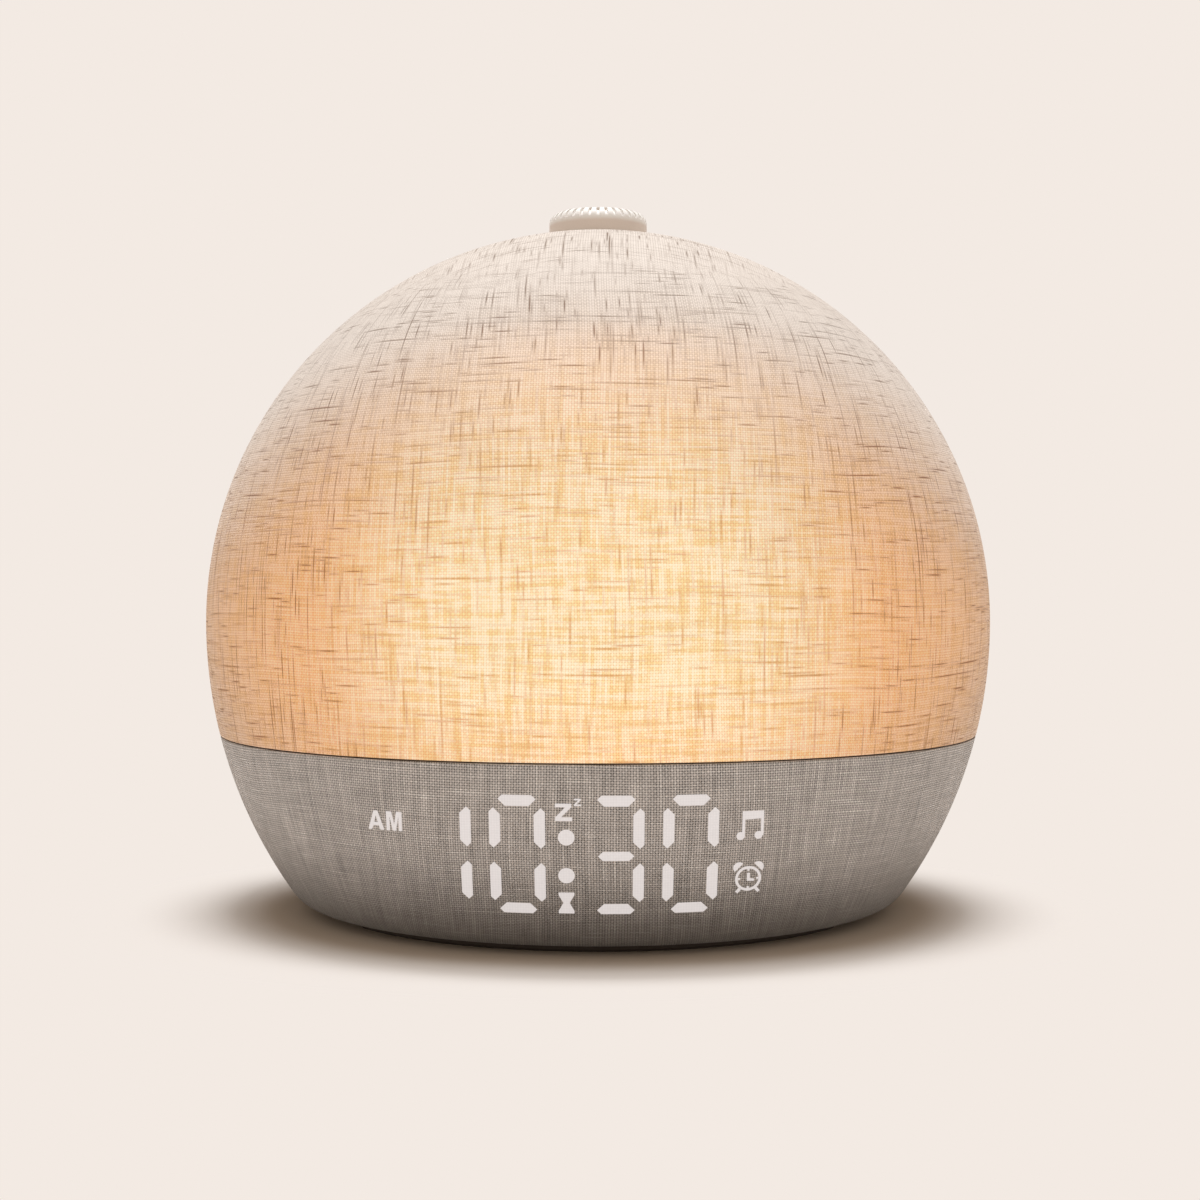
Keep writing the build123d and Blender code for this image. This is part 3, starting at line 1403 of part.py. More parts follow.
class PushButton(BasePartObject):
    """Rear button: a cap that follows the ball's face, a flange that keeps it in and a stem"""

    def __init__(self, spot, rotation=(0, 0, 0), align=None, mode=Mode.ADD):
        edge_x = abs(spot[0]) + button_radius + button_flange
        flange_top = -cos(rear_tilt) * rear_curve(edge_x) - panel_inner_depth - button_rest_gap
        flange_plane = rear_plane.offset(flange_top)
        with BuildPart() as button:
            with BuildSketch(flange_plane):
                with Locations(spot):
                    Circle(button_radius)
            extrude(amount=rear_board_inset)
            BallVolume(-button_proud, mode=Mode.INTERSECT)
            with BuildSketch(flange_plane):
                with Locations(spot):
                    Circle(button_radius + button_flange)
            extrude(amount=-button_flange_thickness)
            with BuildSketch(flange_plane):
                with Locations(spot):
                    Circle(button_stem_radius)
            extrude(amount=plunger_top - flange_top)
        super().__init__(part=button.part, rotation=rotation, align=align, mode=mode)


for button_name, button_spot in button_spots.items():
    with BuildPart() as push_button:
        PushButton(button_spot)
    push_button.part.label = button_name
    export_step(push_button.part, f"parts/{button_name}.step")

    with BuildPart() as switch_plunger:
        with BuildSketch(rear_plane.offset(plunger_top)):
            with Locations(button_spot):
                Circle(switch_plunger_radius)
        extrude(amount=button_travel + button_clearance - switch_height - switch_plunger_rise)
    switch_plunger.part.label = f"{button_name}_plunger"
    export_step(switch_plunger.part, f"parts/{button_name}_plunger.step")

# ---- Board screws and cables ---------------------------------------------------------------------

display_board_back = rear_view.offset(board_thickness - display_back)
with BuildPart() as board_screws:
    with Locations(Plane.XY.offset(main_board_low_z).rotated((0, 180, 0))):
        with GridLocations(2 * standoff_x, 2 * standoff_y, 2, 2):
            SmallScrew(board_screw_length)
    with Locations(Plane.XY.offset(led_board_top_z)):
        with PolarLocations(led_screw_circle, led_screw_count):
            SmallScrew(board_screw_length)
    with Locations(display_board_back):
        with Locations(*[(-x, z) for x in display_screw_xs for z in display_screw_zs]):
            SmallScrew(board_screw_length)
    with Locations(-rear_board_back):
        with Locations((0, -rear_board_shift)):
            with GridLocations(2 * rear_boss_x, 2 * rear_boss_y, 2, 2):
                SmallScrew(board_screw_length)
board_screws.part.label = "board_screws"
export_step(board_screws.part, "parts/board_screws.step")

ribbon_z = main_board_top_z + header_height / 2
ribbon_start_y = board_thickness + header_height - display_back
ribbon_end_y = -edge_header_y - header_width / 2
ribbon_run = [
    (ribbon_start_y, display_header_z),
    (ribbon_start_y + ribbon_front_run, display_header_z),
    (ribbon_end_y - ribbon_back_run, ribbon_z),
    (ribbon_end_y, ribbon_z),
]
with BuildPart() as display_ribbon:
    with BuildSketch(Plane.YZ.offset(display_centre_x)):
        with BuildLine():
            Polyline(*ribbon_run, *[(y, z + ribbon_thickness) for y, z in reversed(ribbon_run)], close=True)
        make_face()
    extrude(amount=ribbon_width / 2, both=True)
display_ribbon.part.label = "display_ribbon"
export_step(display_ribbon.part, "parts/display_ribbon.step")

power_lead_z = main_board_top_z + header_height / 2
with BuildPart() as wiring_harness:
    for side in (-1, 1):
        offset_x = side * wire_pitch / 2
        with BuildSketch(Plane.XY.offset(terminal_top_z)):
            with Locations((offset_x, terminal_y)):
                Circle(wire_radius)
        extrude(amount=main_board_low_z - terminal_top_z)
        with BuildSketch(Plane.XY.offset(main_board_top_z)):
            with Locations((led_lead_x + offset_x, led_lead_y)):
                Circle(wire_radius)
        extrude(amount=chassis_top_z - main_board_top_z)
        exit_point = rear_board_back.from_local_coords((offset_x - power_header_x, lead_shift, 0))
        first_bend = rear_board_back.from_local_coords((offset_x - power_header_x, lead_shift, -lead_run))
        header_y = edge_header_y + header_width / 2
        last_bend = Vector(exit_point.X, header_y + lead_run, power_lead_z)
        plug = Vector(exit_point.X, header_y, power_lead_z)
        Tube([exit_point, first_bend, last_bend, plug], wire_radius, 2 * wire_pitch)
wiring_harness.part.label = "wiring_harness"
export_step(wiring_harness.part, "parts/wiring_harness.step")
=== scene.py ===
from math import asin, atan2, cos, pi, radians, sin, sqrt

import bmesh
import bpy
from bpy.props import FloatProperty, FloatVectorProperty, IntProperty, PointerProperty
from bpy.types import Operator, Panel, PropertyGroup
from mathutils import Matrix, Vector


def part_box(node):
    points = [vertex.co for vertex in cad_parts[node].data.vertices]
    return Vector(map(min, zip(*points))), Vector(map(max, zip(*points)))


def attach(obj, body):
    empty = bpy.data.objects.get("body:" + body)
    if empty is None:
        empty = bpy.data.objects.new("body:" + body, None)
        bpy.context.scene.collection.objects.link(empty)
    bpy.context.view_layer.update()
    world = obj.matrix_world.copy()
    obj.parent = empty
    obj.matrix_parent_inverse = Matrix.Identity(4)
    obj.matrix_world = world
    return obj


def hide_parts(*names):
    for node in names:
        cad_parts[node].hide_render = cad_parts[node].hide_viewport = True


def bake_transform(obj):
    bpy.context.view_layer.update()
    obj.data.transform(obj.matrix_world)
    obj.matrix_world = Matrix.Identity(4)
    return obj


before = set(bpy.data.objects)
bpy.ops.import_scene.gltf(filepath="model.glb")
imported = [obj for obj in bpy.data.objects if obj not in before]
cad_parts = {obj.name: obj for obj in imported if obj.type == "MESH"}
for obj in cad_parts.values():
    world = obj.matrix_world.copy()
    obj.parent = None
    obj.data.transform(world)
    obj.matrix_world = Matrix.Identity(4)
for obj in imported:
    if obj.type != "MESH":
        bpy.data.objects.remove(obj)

bl_info = {
    "name": "Sunrise Clock Dresser",
    "version": (1, 0, 0),
    "blender": (4, 5, 0),
    "location": "3D View > Sidebar > Clock",
    "description": "Cloth skins, lit display marks, finishes and a studio for a sunrise alarm clock",
    "category": "Object",
}

MM = 0.001

# The ball's section, as the casing has it: heights and radii in millimetres
GIRTH_Z = 55.0
BALL_RADIUS = 75.0
SIDE_RADIUS = 88.5              # arc of the flank below the girth
UNDERSIDE_Z = 1.5
CORNER_RADIUS = 6.2
BASE_TOP_Z = 33.35
DOME_LOW_Z = 33.85
DOME_HOLE_RADIUS = 11.05
BASE_HOLE_RADIUS = 52.95

# The cloth skins in millimetres
CLOTH_THICKNESS = 0.78
CLOTH_GAP = 0.02                # what a skin keeps from its neighbours
LIP_DROP = 0.14                 # the hems' rolled edges reach this far into the seam
LIP_DEPTH = 0.36                # and are this deep
CORNER_TUCK = 0.6               # share of the corner's radius by which the weave map runs on under it
HEM_STEPS = 4
CORNER_STEPS = (10, 6)          # on the face and inside

# The window in the base's cloth for the rear panel, in millimetres
REAR_CENTRE_Z = 17.0
REAR_WIDTH = 58.3
REAR_HEIGHT = 13.9
REAR_CORNER = 5.15
REAR_CORNER_STEPS = 6
REAR_REACH = 60.0               # how far back its cutter's middle is, and the cutter's depth

KNOB_BAND_Z = 131.7             # top of the knob's plain band, under its teeth
KNOB_TEETH_RADII = (6.0, 8.0)

# The speaker's spider in millimetres
SPIDER_SPACE = 0.5              # height that it has between its neighbours
SPIDER_WAVE = 0.1
SPIDER_ROLLS = 4
SPIDER_STEPS = 48               # from its inner to its outer edge
SPIDER_AROUND = 64


def reach(z, depth=0.0):
    """Radius of the ball in mm at a height, a depth inside the cloth's face"""
    arc = BALL_RADIUS if z > GIRTH_Z else SIDE_RADIUS
    return BALL_RADIUS - arc + sqrt((arc - depth) ** 2 - (z - GIRTH_Z) ** 2)


# ---- Settings ------------------------------------------------------------------------------------


class ClockCloth(PropertyGroup):
    """How the two cloth skins are woven and cut"""

    thread_count: IntProperty(
        name="Threads", description="Upright threads round the girth", default=1060, min=100,
    )
    hem_radius: FloatProperty(
        name="Hem radius", description="Rounding of the turned edges", subtype="DISTANCE",
        default=0.17 * MM,
    )
    around: IntProperty(name="Steps around", description="Mesh steps round the ball", default=240, min=32)
    upright: IntProperty(name="Steps up", description="Mesh steps from seam to crown", default=72, min=8)
    dome_colour: FloatVectorProperty(
        name="Dome", description="Cream linen", default=(0.91, 0.82, 0.755), subtype="COLOR",
    )
    base_colour: FloatVectorProperty(
        name="Base", description="Grey-taupe linen", default=(0.459, 0.430, 0.411), subtype="COLOR",
    )


class ClockGlow(PropertyGroup):
    """The sunrise light behind the dome's cloth"""

    strength: FloatProperty(name="Strength", description="Brightness of the glow", default=0.5, min=0.0)
    top: FloatProperty(
        name="Top", description="Height where the glow has faded out", subtype="DISTANCE",
        default=106 * MM,
    )
    full: FloatProperty(
        name="Full", description="Height below which the glow is full", subtype="DISTANCE",
        default=60 * MM,
    )


class ClockDisplay(PropertyGroup):
    """The lit marks that show through the base's cloth"""

    lift: FloatProperty(
        name="Lift", description="Height of the marks over the cloth", subtype="DISTANCE",
        default=0.05 * MM,
    )
    cell: FloatProperty(
        name="Cell", description="Size of the marks' mesh cells", default=0.9 * MM, subtype="DISTANCE",
    )
    colour: FloatVectorProperty(
        name="Colour", description="Light of the marks", default=(0.597, 0.557, 0.549), subtype="COLOR",
    )


class ClockStage(PropertyGroup):
    """Floor, lamps and camera"""

    backdrop: FloatVectorProperty(
        name="Backdrop", description="Floor's edge and background", subtype="COLOR",
        default=(0.896, 0.823, 0.768),
    )
    paper: FloatVectorProperty(
        name="Paper", description="Floor under the clock", default=(0.86, 0.815, 0.785), subtype="COLOR",
    )
    room_light: FloatProperty(name="Room light", description="Light from all round", default=0.45, min=0.0)
    lamp_power: FloatProperty(name="Lamp", description="Overhead soft box", default=13.4, subtype="POWER")
    camera_distance: FloatProperty(
        name="Camera distance", description="From the ball's axis", default=0.375, subtype="DISTANCE",
    )
    camera_height: FloatProperty(
        name="Camera height", description="Over the floor", default=0.0621, subtype="DISTANCE",
    )


# Floor: sizes in metres, and in mm where its finish changes
FLOOR_RADIUS = 2.5
FLOOR_STEPS = 96
FADE_RADII = (60.0, 98.0)       # paper inside them, plain background outside
FADE_SHIFT = 8.0                # the fade's middle is this far in front of the axis
FADE_SQUASH = 1.2               # and it is this much narrower from front to back
CONTACT_SHADOW_RADII = (61.0, 70.5)    # painted contact shadow inside them
CONTACT_SHADOW_TINT = (0.74, 0.68, 0.61)

# Lights and camera: places and sizes in metres, lens and sensor in mm
ROOM_COLOUR = (1.0, 0.86, 0.72, 1.0)
LAMP_PLACE = (0, -0.02, 1.35)
LAMP_TILT = radians(1)
LAMP_SIZE = (0.45, 0.2)
LAMP_COLOUR = (0.95, 1.0, 1.04)
SENSOR_WIDTH = 36.0
LENS = 57.61
SHIFT = (0.0016, -0.0138)
CLIP = (0.01, 20.0)


# ---- Shader expressions --------------------------------------------------------------------------


class Wire:
    """One output of a shader tree, with arithmetic that adds the Math nodes it needs"""

    def __init__(self, finish, socket):
        self.finish = finish
        self.socket = socket

    def math(self, operation, *values, clamp=False):
        """A Math node of that operation on these values"""
        settings = {"operation": operation, "use_clamp": clamp}
        return self.finish.node("ShaderNodeMath", settings, dict(enumerate(values)))

    def __add__(self, other):
        return self.math("ADD", self, other)

    def __radd__(self, other):
        return self.math("ADD", other, self)

    def __sub__(self, other):
        return self.math("SUBTRACT", self, other)

    def __rsub__(self, other):
        return self.math("SUBTRACT", other, self)

    def __mul__(self, other):
        return self.math("MULTIPLY", self, other)

    def __rmul__(self, other):
        return self.math("MULTIPLY", other, self)

    def __truediv__(self, other):
        return self.math("DIVIDE", self, other)

    def __pow__(self, other):
        return self.math("POWER", self, other)

    def floor(self):
        """Whole part"""
        return self.math("FLOOR", self)

    def sine(self):
        """Sine of an angle in radians"""
        return self.math("SINE", self)

    def cosine(self):
        """Cosine of an angle in radians"""
        return self.math("COSINE", self)

    def above(self, other):
        """The larger of the two"""
        return self.math("MAXIMUM", self, other)

    def ramp(self, low, high):
        """0 at low and 1 at high, smooth between them"""
        settings = {"interpolation_type": "SMOOTHSTEP"}
        values = {"Value": self, "From Min": low, "From Max": high}
        return self.finish.node("ShaderNodeMapRange", settings, values)


class Finish:
    """The shader tree of one material, or of the world"""

    def __init__(self, name, world=False):
        store = bpy.data.worlds if world else bpy.data.materials
        self.output_kind = "ShaderNodeOutputWorld" if world else "ShaderNodeOutputMaterial"
        self.data = store.new(name)
        self.data.use_nodes = True
        self.tree = self.data.node_tree
        self.tree.nodes.clear()

    def node(self, kind, settings=None, values=None, out=0):
        """Adds a node: its settings first, then the values or wires of its sockets"""
        made = self.tree.nodes.new(kind)
        for key, value in (settings or {}).items():
            setattr(made, key, value)
        for key, value in (values or {}).items():
            if isinstance(value, Wire):
                self.tree.links.new(value.socket, made.inputs[key])
            else:
                made.inputs[key].default_value = value
        return Wire(self, made.outputs[out])

    def mix(self, factor, first, second, blend="MIX"):
        """Colour between two colours"""
        settings = {"data_type": "RGBA", "blend_type": blend}
        pair = [(*colour, 1.0) if isinstance(colour, tuple) else colour for colour in (first, second)]
        return self.node("ShaderNodeMix", settings, {0: factor, 6: pair[0], 7: pair[1]}, out=2)

    def scaled(self, colour, share):
        """Colour times a number"""
        return self.mix(1.0, colour, self.join(share, share, share), "MULTIPLY")

    def place(self):
        """Object coordinates in millimetres: x, y, z and the vector"""
        coords = self.node("ShaderNodeTexCoord", out=3)
        scaled = self.node("ShaderNodeVectorMath", {"operation": "SCALE"}, {0: coords, "Scale": 1 / MM})
        return (*self.split(scaled), scaled)

    def split(self, vector):
        """The three numbers of a vector"""
        parts = self.node("ShaderNodeSeparateXYZ", None, {0: vector})
        outputs = parts.socket.node.outputs
        return tuple(Wire(self, output) for output in outputs)

    def join(self, x, y, z=0.0):
        """A vector of three numbers"""
        return self.node("ShaderNodeCombineXYZ", None, {0: x, 1: y, 2: z})

    def noise(self, vector, scale, detail=2.0, dimensions="3D", roughness=0.5):
        """Soft noise from 0 to 1"""
        settings = {"noise_dimensions": dimensions}
        values = {"Vector": vector, "Scale": scale, "Detail": detail, "Roughness": roughness}
        return self.node("ShaderNodeTexNoise", settings, values)

    def bump(self, height, depth, strength=1.0):
        """A normal from a height of 0 to 1 that stands for a depth in metres"""
        values = {"Height": height, "Distance": depth, "Strength": strength}
        return self.node("ShaderNodeBump", None, values)

    def surface(self, **values):
        """The principled shader on the output; keys are its sockets with _ for a space"""
        sockets = {key.replace("_", " "): value for key, value in values.items()}
        for key, value in sockets.items():
            if isinstance(value, tuple):
                sockets[key] = (*value, 1.0)
        return self.show(self.node("ShaderNodeBsdfPrincipled", None, sockets))

    def seen(self):
        """1 for rays of the camera, of reflections and through glass; 0 for light on other surfaces"""
        rays = self.node("ShaderNodeLightPath").socket.node.outputs
        direct = Wire(self, rays["Is Camera Ray"]) + Wire(self, rays["Is Glossy Ray"])
        return direct.math("ADD", direct, Wire(self, rays["Is Transmission Ray"]), clamp=True)

    def show(self, shader):
        """Puts a shader on the tree's output, and gives back the material or the world"""
        output = self.tree.nodes.new(self.output_kind)
        self.tree.links.new(shader.socket, output.inputs["Surface"])
        return self.data


# ---- Cloth ---------------------------------------------------------------------------------------

# Threads: lengths in mm along them
SHORT_SLUB = 8.5
LONG_SLUB = 21.0
TONE_LENGTH = 12.0
SLUB_SHARE = 0.585              # higher for fewer thick places
LONG_SLUB_SHARE = 0.605
SLUB_SWELL = 5.5
SLUB_TAPER = 2.8                # higher for narrower thick places
DRIFT_SCALE = 0.025             # how often the threads wander
DRIFT_THREADS = 5.0             # and how far, in threads
WARP_SEED = 31.7                # keeps the two sets of threads unlike
CROWN_SEED = 77.0               # keeps the crown's pattern unlike the sides'
PATCH_LENGTH = 8.0              # streaks of denser cloth
PATCH_WIDTH = 1.3
CROWN_RADII = (34.0, 50.0)      # the weave turns from the crown's to the sides' between them

# Heights in mm between which the dome's look changes
GLOW_TINT_Z = (118.0, 78.0)          # painted glow tint: plain cream above, lit colours below
CORE_Z = (112.0, 76.0)          # the palest middle of the glow
EDGE_Z = (62.0, 38.0)           # less painted glow tint at the outer edge, more so low down
PALE_Z = (28.0, 52.0)           # less pale towards the seam
SEAM_Z = (20.0, 48.0)           # a little dimmer towards the seam
GLOW_MIDDLE_Z = 54.0            # where the glow is widest
SIDE_GLOW = 0.12                # share of the glow at the sides
REAR_GLOW = 0.75                # and at the back

LIT_THREAD = (0.85, 0.62, 0.465)
LIT_PATCH = (0.83, 0.565, 0.33)
CREAM_GAP = (0.50, 0.42, 0.36)
LIT_GAP = (0.52, 0.25, 0.10)
CREAM_SLUB = (0.27, 0.19, 0.145)
LIT_SLUB = (0.32, 0.12, 0.045)
GLOW_PALE = (1.0, 0.985, 0.68)
GLOW_GOLD = (1.0, 0.905, 0.425)
GLOW_AMBER = (1.0, 0.45, 0.13)

BASE_SLUB = (0.72, 0.69, 0.66)
BASE_SEED = 11.0
BASE_UPRIGHT = 0.64
BASE_CROSSING = 0.14
BASE_SHADE_Z = (-3.0, 20.0)     # painted shade, darker towards the floor


def thread_pitch(cloth):
    """Distance between threads in mm"""
    return 2 * pi * BALL_RADIUS / cloth.thread_count


def thread_noise(finish, along, thread, length, slide, step, seed, detail=1.0):
    """Noise of a length in mm along a thread, which slides and steps from one thread to the next"""
    spot = finish.join(along / length + thread * slide, thread * step + seed)
    return finish.noise(spot, 1.0, detail, "2D")


def thread_set(finish, along, across, seed, pitch):
    """One set of threads on a pair of coordinates in mm: thick places, tone, hollow and over or under"""
    drift = finish.noise(finish.join(along, across, seed), DRIFT_SCALE, 1.0)
    count = across / pitch + drift * DRIFT_THREADS
    thread = count.floor()
    offset = (count - thread) * 2.0 - 1.0
    hollow = offset * offset
    short = thread_noise(finish, along, thread, SHORT_SLUB, 5.31, 2.37, seed)
    long = thread_noise(finish, along, thread, LONG_SLUB, 3.17, 1.73, -seed)
    tone = thread_noise(finish, along, thread, TONE_LENGTH, -4.7, 3.11, seed, 2.0)
    swell = (short - SLUB_SHARE).above(long - LONG_SLUB_SHARE) * SLUB_SWELL
    slub = swell.math("SUBTRACT", swell, hollow * SLUB_TAPER, clamp=True)
    return slub, tone, hollow, (count * pi).sine()


def weave(finish, across, up, seed, pitch, upright, crossing):
    """The plain weave on a pair of coordinates in mm: slubs, thread tone, dense patches and relief"""
    weft_slub, weft_tone, weft_hollow, weft_over = thread_set(finish, across, up, seed, pitch)
    warp_slub, warp_tone, warp_hollow, warp_over = thread_set(finish, up, across, seed + WARP_SEED, pitch)
    slub = weft_slub.above(warp_slub)
    tone = weft_tone * (1.0 - upright) + warp_tone * upright
    streak = finish.join(across / PATCH_LENGTH, up / PATCH_WIDTH, seed)
    flat = finish.noise(streak, 1.0, 3.0, roughness=0.6)
    streak = finish.join(across / PATCH_WIDTH, up / PATCH_LENGTH, seed + 5.0)
    tall = finish.noise(streak, 1.0, 3.0, roughness=0.6)
    patch = flat * (1.0 - upright) + tall * upright
    lace = 0.88 - (weft_hollow + warp_hollow).ramp(0.5, 1.5) * 0.8 + weft_over * warp_over * crossing
    return slub, tone, patch, lace


def skin_pattern(finish, seed, pitch, upright=0.5, crossing=0.22):
    """The weave of a skin, with the share of its upright threads and how far the crossings show

    It lies on the skin's own map down the sides and straight across on the crown.
    """
    chart = finish.node("ShaderNodeUVMap", {"uv_map": "weave"})
    across, up, _ = finish.split(chart)
    x, y, z, _ = finish.place()
    side = weave(finish, across / MM, up / MM, seed, pitch, upright, crossing)
    crown = weave(finish, x, y, seed + CROWN_SEED, pitch, upright, crossing)
    on_side = ((x * x + y * y) ** 0.5).ramp(*CROWN_RADII)
    blended = [low * (1.0 - on_side) + high * on_side for low, high in zip(crown, side)]
    return blended, (x, y, z)


def glow_spread(finish, place, glow):
    """The painted glow tint of the dome's cloth, how near the palest middle of the glow, and the glow's
    strength
    """
    x, y, z = place
    azimuth = finish.node("ShaderNodeMath", {"operation": "ARCTAN2"}, {0: x, 1: -1.0 * y})
    facing = azimuth.cosine()
    front = facing.above(0.0)
    rear = ((0.35 - facing) / 1.35).above(0.0)
    nearest = front.above(rear)
    aside = 1.0 - nearest
    # painted glow tint: lit colours where the glow shines, reaching lower at the sides and weaker at their
    # outer edge
    edge = aside.ramp(0.35, 0.85) * (z.ramp(*EDGE_Z) * 0.3 + 0.15)
    glow_tint = (z + aside * 30.0).ramp(*GLOW_TINT_Z) * (1.0 - edge)
    core = nearest.ramp(0.75, 0.98) * z.ramp(*CORE_Z)
    offset = z - GLOW_MIDDLE_Z
    narrowing = offset * offset * 0.0033 + 1.25
    spread = (front ** narrowing).above((rear ** 0.7) * REAR_GLOW).above(SIDE_GLOW)
    rise = {"Value": z, "From Min": glow.top / MM, "From Max": glow.full / MM}
    height = finish.node("ShaderNodeMapRange", None, rise) * (z.ramp(*SEAM_Z) * 0.10 + 0.90)
    return glow_tint, core, (height ** 0.62) * spread


def dome_linen(settings, glow):
    """Cream slub linen, lit from inside low down"""
    finish = Finish("dome_linen")
    (slub, tone, patch, lace), (x, y, z) = skin_pattern(finish, 3.0, thread_pitch(settings))
    glow_tint, core, level = glow_spread(finish, (x, y, z), glow)
    cloud = finish.noise(finish.join(x, y, z), 0.04, 2.0)
    dense = (patch - tone * 0.7).ramp(0.06, 0.30)

    cover = lace * 0.98 + tone * 0.86 + patch * 0.16 - 0.42
    # painted glow tint: the cloth's lit colours below, plain cream above
    tint = finish.mix(glow_tint, tuple(settings.dome_colour), finish.mix(dense, LIT_THREAD, LIT_PATCH))
    body = finish.mix(cover, finish.mix(glow_tint, CREAM_GAP, LIT_GAP), tint)
    body = finish.mix(slub * (0.98 - core * 0.4), body, finish.mix(glow_tint, CREAM_SLUB, LIT_SLUB))

    level = level * (0.90 + cloud * 0.24) * (1.0 - slub * (0.5 - core * 0.38))
    level = level * (1.04 - dense * 0.10) * (0.88 + lace * 0.13)
    pale = core * (z.ramp(*PALE_Z) * 0.40 + 0.50 + lace * 0.08) * (1.0 - dense * 0.25)
    pale = (pale + (lace + tone - 0.9) * 0.16) * (1.0 - slub * 0.7)
    hue = finish.mix(pale, GLOW_AMBER, finish.mix(dense, GLOW_PALE, GLOW_GOLD))
    relief = finish.bump(lace + slub * 0.8 + tone * 0.5, 0.12 * MM, 0.5)
    return finish.surface(
        Base_Color=body, Roughness=0.92, Specular_IOR_Level=0.2, Sheen_Weight=0.2, Sheen_Roughness=0.5,
        Normal=relief, Emission_Color=finish.scaled(hue, level), Emission_Strength=glow.strength,
    )


def base_linen(settings):
    """Grey-taupe linen with pale slubs, with painted shade towards the floor and painted light at the sides
    """
    finish = Finish("base_linen")
    pattern, (x, y, z) = skin_pattern(
        finish, BASE_SEED, thread_pitch(settings), BASE_UPRIGHT, BASE_CROSSING,
    )
    slub, tone, patch, lace = pattern
    grain = finish.noise(finish.join(x, y, z), 2.6, 2.0)
    body = finish.mix(slub * 0.6, tuple(settings.base_colour), BASE_SLUB)
    radius = (x * x + y * y) ** 0.5
    aside = 1.0 - (y / radius) * (y / radius)
    shade = lace * 1.45 + tone * 1.25 + patch * 0.66 + grain * 0.20 - 0.95
    # painted shade towards the floor, and painted light up to 12% brighter at the sides
    shade = shade * (z.ramp(*BASE_SHADE_Z) * 0.60 + 0.335) * (aside.ramp(0.6, 1.0) * 0.12 + 1.0)
    relief = finish.bump(lace + slub * 0.6, 0.16 * MM, 0.6)
    return finish.surface(
        Base_Color=finish.scaled(body, shade), Roughness=0.94, Specular_IOR_Level=0.2, Sheen_Weight=0.4,
        Sheen_Roughness=0.5, Normal=relief,
    )


# ---- Plastics, metals and boards -----------------------------------------------------------------


def moulded(name, colour, roughness, grain=0.05, scale=1.4):
    """Moulded plastic or rubber with a spark-eroded grain and slight handling shine"""
    finish = Finish(name)
    *_, spot = finish.place()
    fine = finish.noise(spot, scale * 3.0, 3.0)
    broad = finish.noise(spot, 0.06 * scale, 2.0)
    body = finish.scaled(colour, 0.93 + broad * 0.10 + fine * 0.04)
    gloss = roughness - 0.06 + broad * 0.12
    return finish.surface(Base_Color=body, Roughness=gloss, Normal=finish.bump(fine, grain * MM, 0.5))


def knob_satin():
    """Satin plastic of the knob, with a painted highlight on its ring of teeth, where light from above falls
    """
    finish = Finish("knob_satin")
    x, y, z, spot = finish.place()
    fine = finish.noise(spot, 4.2, 3.0)
    broad = finish.noise(spot, 0.08, 2.0)
    radius = (x * x + y * y) ** 0.5
    # painted highlight: the ring of teeth, lit from above, gets a paler colour than the band
    teeth = z.ramp(KNOB_BAND_Z - 0.5, KNOB_BAND_Z + 0.5) * radius.ramp(*KNOB_TEETH_RADII)
    body = finish.mix(teeth, (0.79, 0.69, 0.615), (0.95, 0.925, 0.90))
    body = finish.scaled(body, 0.93 + broad * 0.10 + fine * 0.04)
    return finish.surface(
        Base_Color=body, Roughness=0.44 + broad * 0.12, Normal=finish.bump(fine, 0.03 * MM, 0.5),
    )


def milky(name, colour, light=0.0):
    """Milky plastic that spreads light, with a faint cloudiness"""
    finish = Finish(name)
    *_, spot = finish.place()
    cloud = finish.noise(spot, 0.12, 3.0)
    body = finish.scaled(colour, 0.94 + cloud * 0.1)
    return finish.surface(
        Base_Color=body, Roughness=0.42 + cloud * 0.1, Emission_Color=body, Emission_Strength=light,
        Normal=finish.bump(cloud, 0.05 * MM, 0.3),
    )


def turned_metal(name, colour, roughness, stretch=(1.0, 1.0, 14.0)):
    """Plated or turned metal with fine tool marks"""
    finish = Finish(name)
    x, y, z, spot = finish.place()
    marks = finish.noise(finish.join(x * stretch[0], y * stretch[1], z * stretch[2]), 0.9, 3.0)
    haze = finish.noise(spot, 0.3, 2.0)
    body = finish.mix(haze, colour, tuple(value * 0.86 for value in colour))
    gloss = roughness + marks * 0.14
    return finish.surface(
        Base_Color=body, Metallic=1.0, Roughness=gloss, Normal=finish.bump(marks, 0.03 * MM, 0.4),
    )


def solder_mask(name):
    """Green circuit board with copper tracks under the mask"""
    finish = Finish(name)
    *_, spot = finish.place()
    lanes = finish.node(
        "ShaderNodeTexVoronoi", {"distance": "MANHATTAN", "feature": "F1"}, {"Vector": spot, "Scale": 0.42},
    )
    track = lanes.ramp(0.34, 0.40) * (1.0 - lanes.ramp(0.44, 0.50))
    cloud = finish.noise(spot, 0.2, 2.0)
    body = finish.mix(track, (0.018, 0.11, 0.05), (0.05, 0.24, 0.09))
    body = finish.mix(cloud * 0.3, body, (0.012, 0.07, 0.035))
    return finish.surface(
        Base_Color=body, Roughness=0.34, Coat_Weight=0.3, Normal=finish.bump(track, 0.03 * MM, 0.4),
    )


def pressed_paper(name, colour):
    """Felted paper or resin cloth"""
    finish = Finish(name)
    *_, spot = finish.place()
    fibre = finish.noise(spot, 2.2, 5.0, roughness=0.7)
    body = finish.mix(fibre, colour, tuple(value * 0.6 for value in colour))
    return finish.surface(Base_Color=body, Roughness=0.9, Normal=finish.bump(fibre, 0.1 * MM, 0.5))


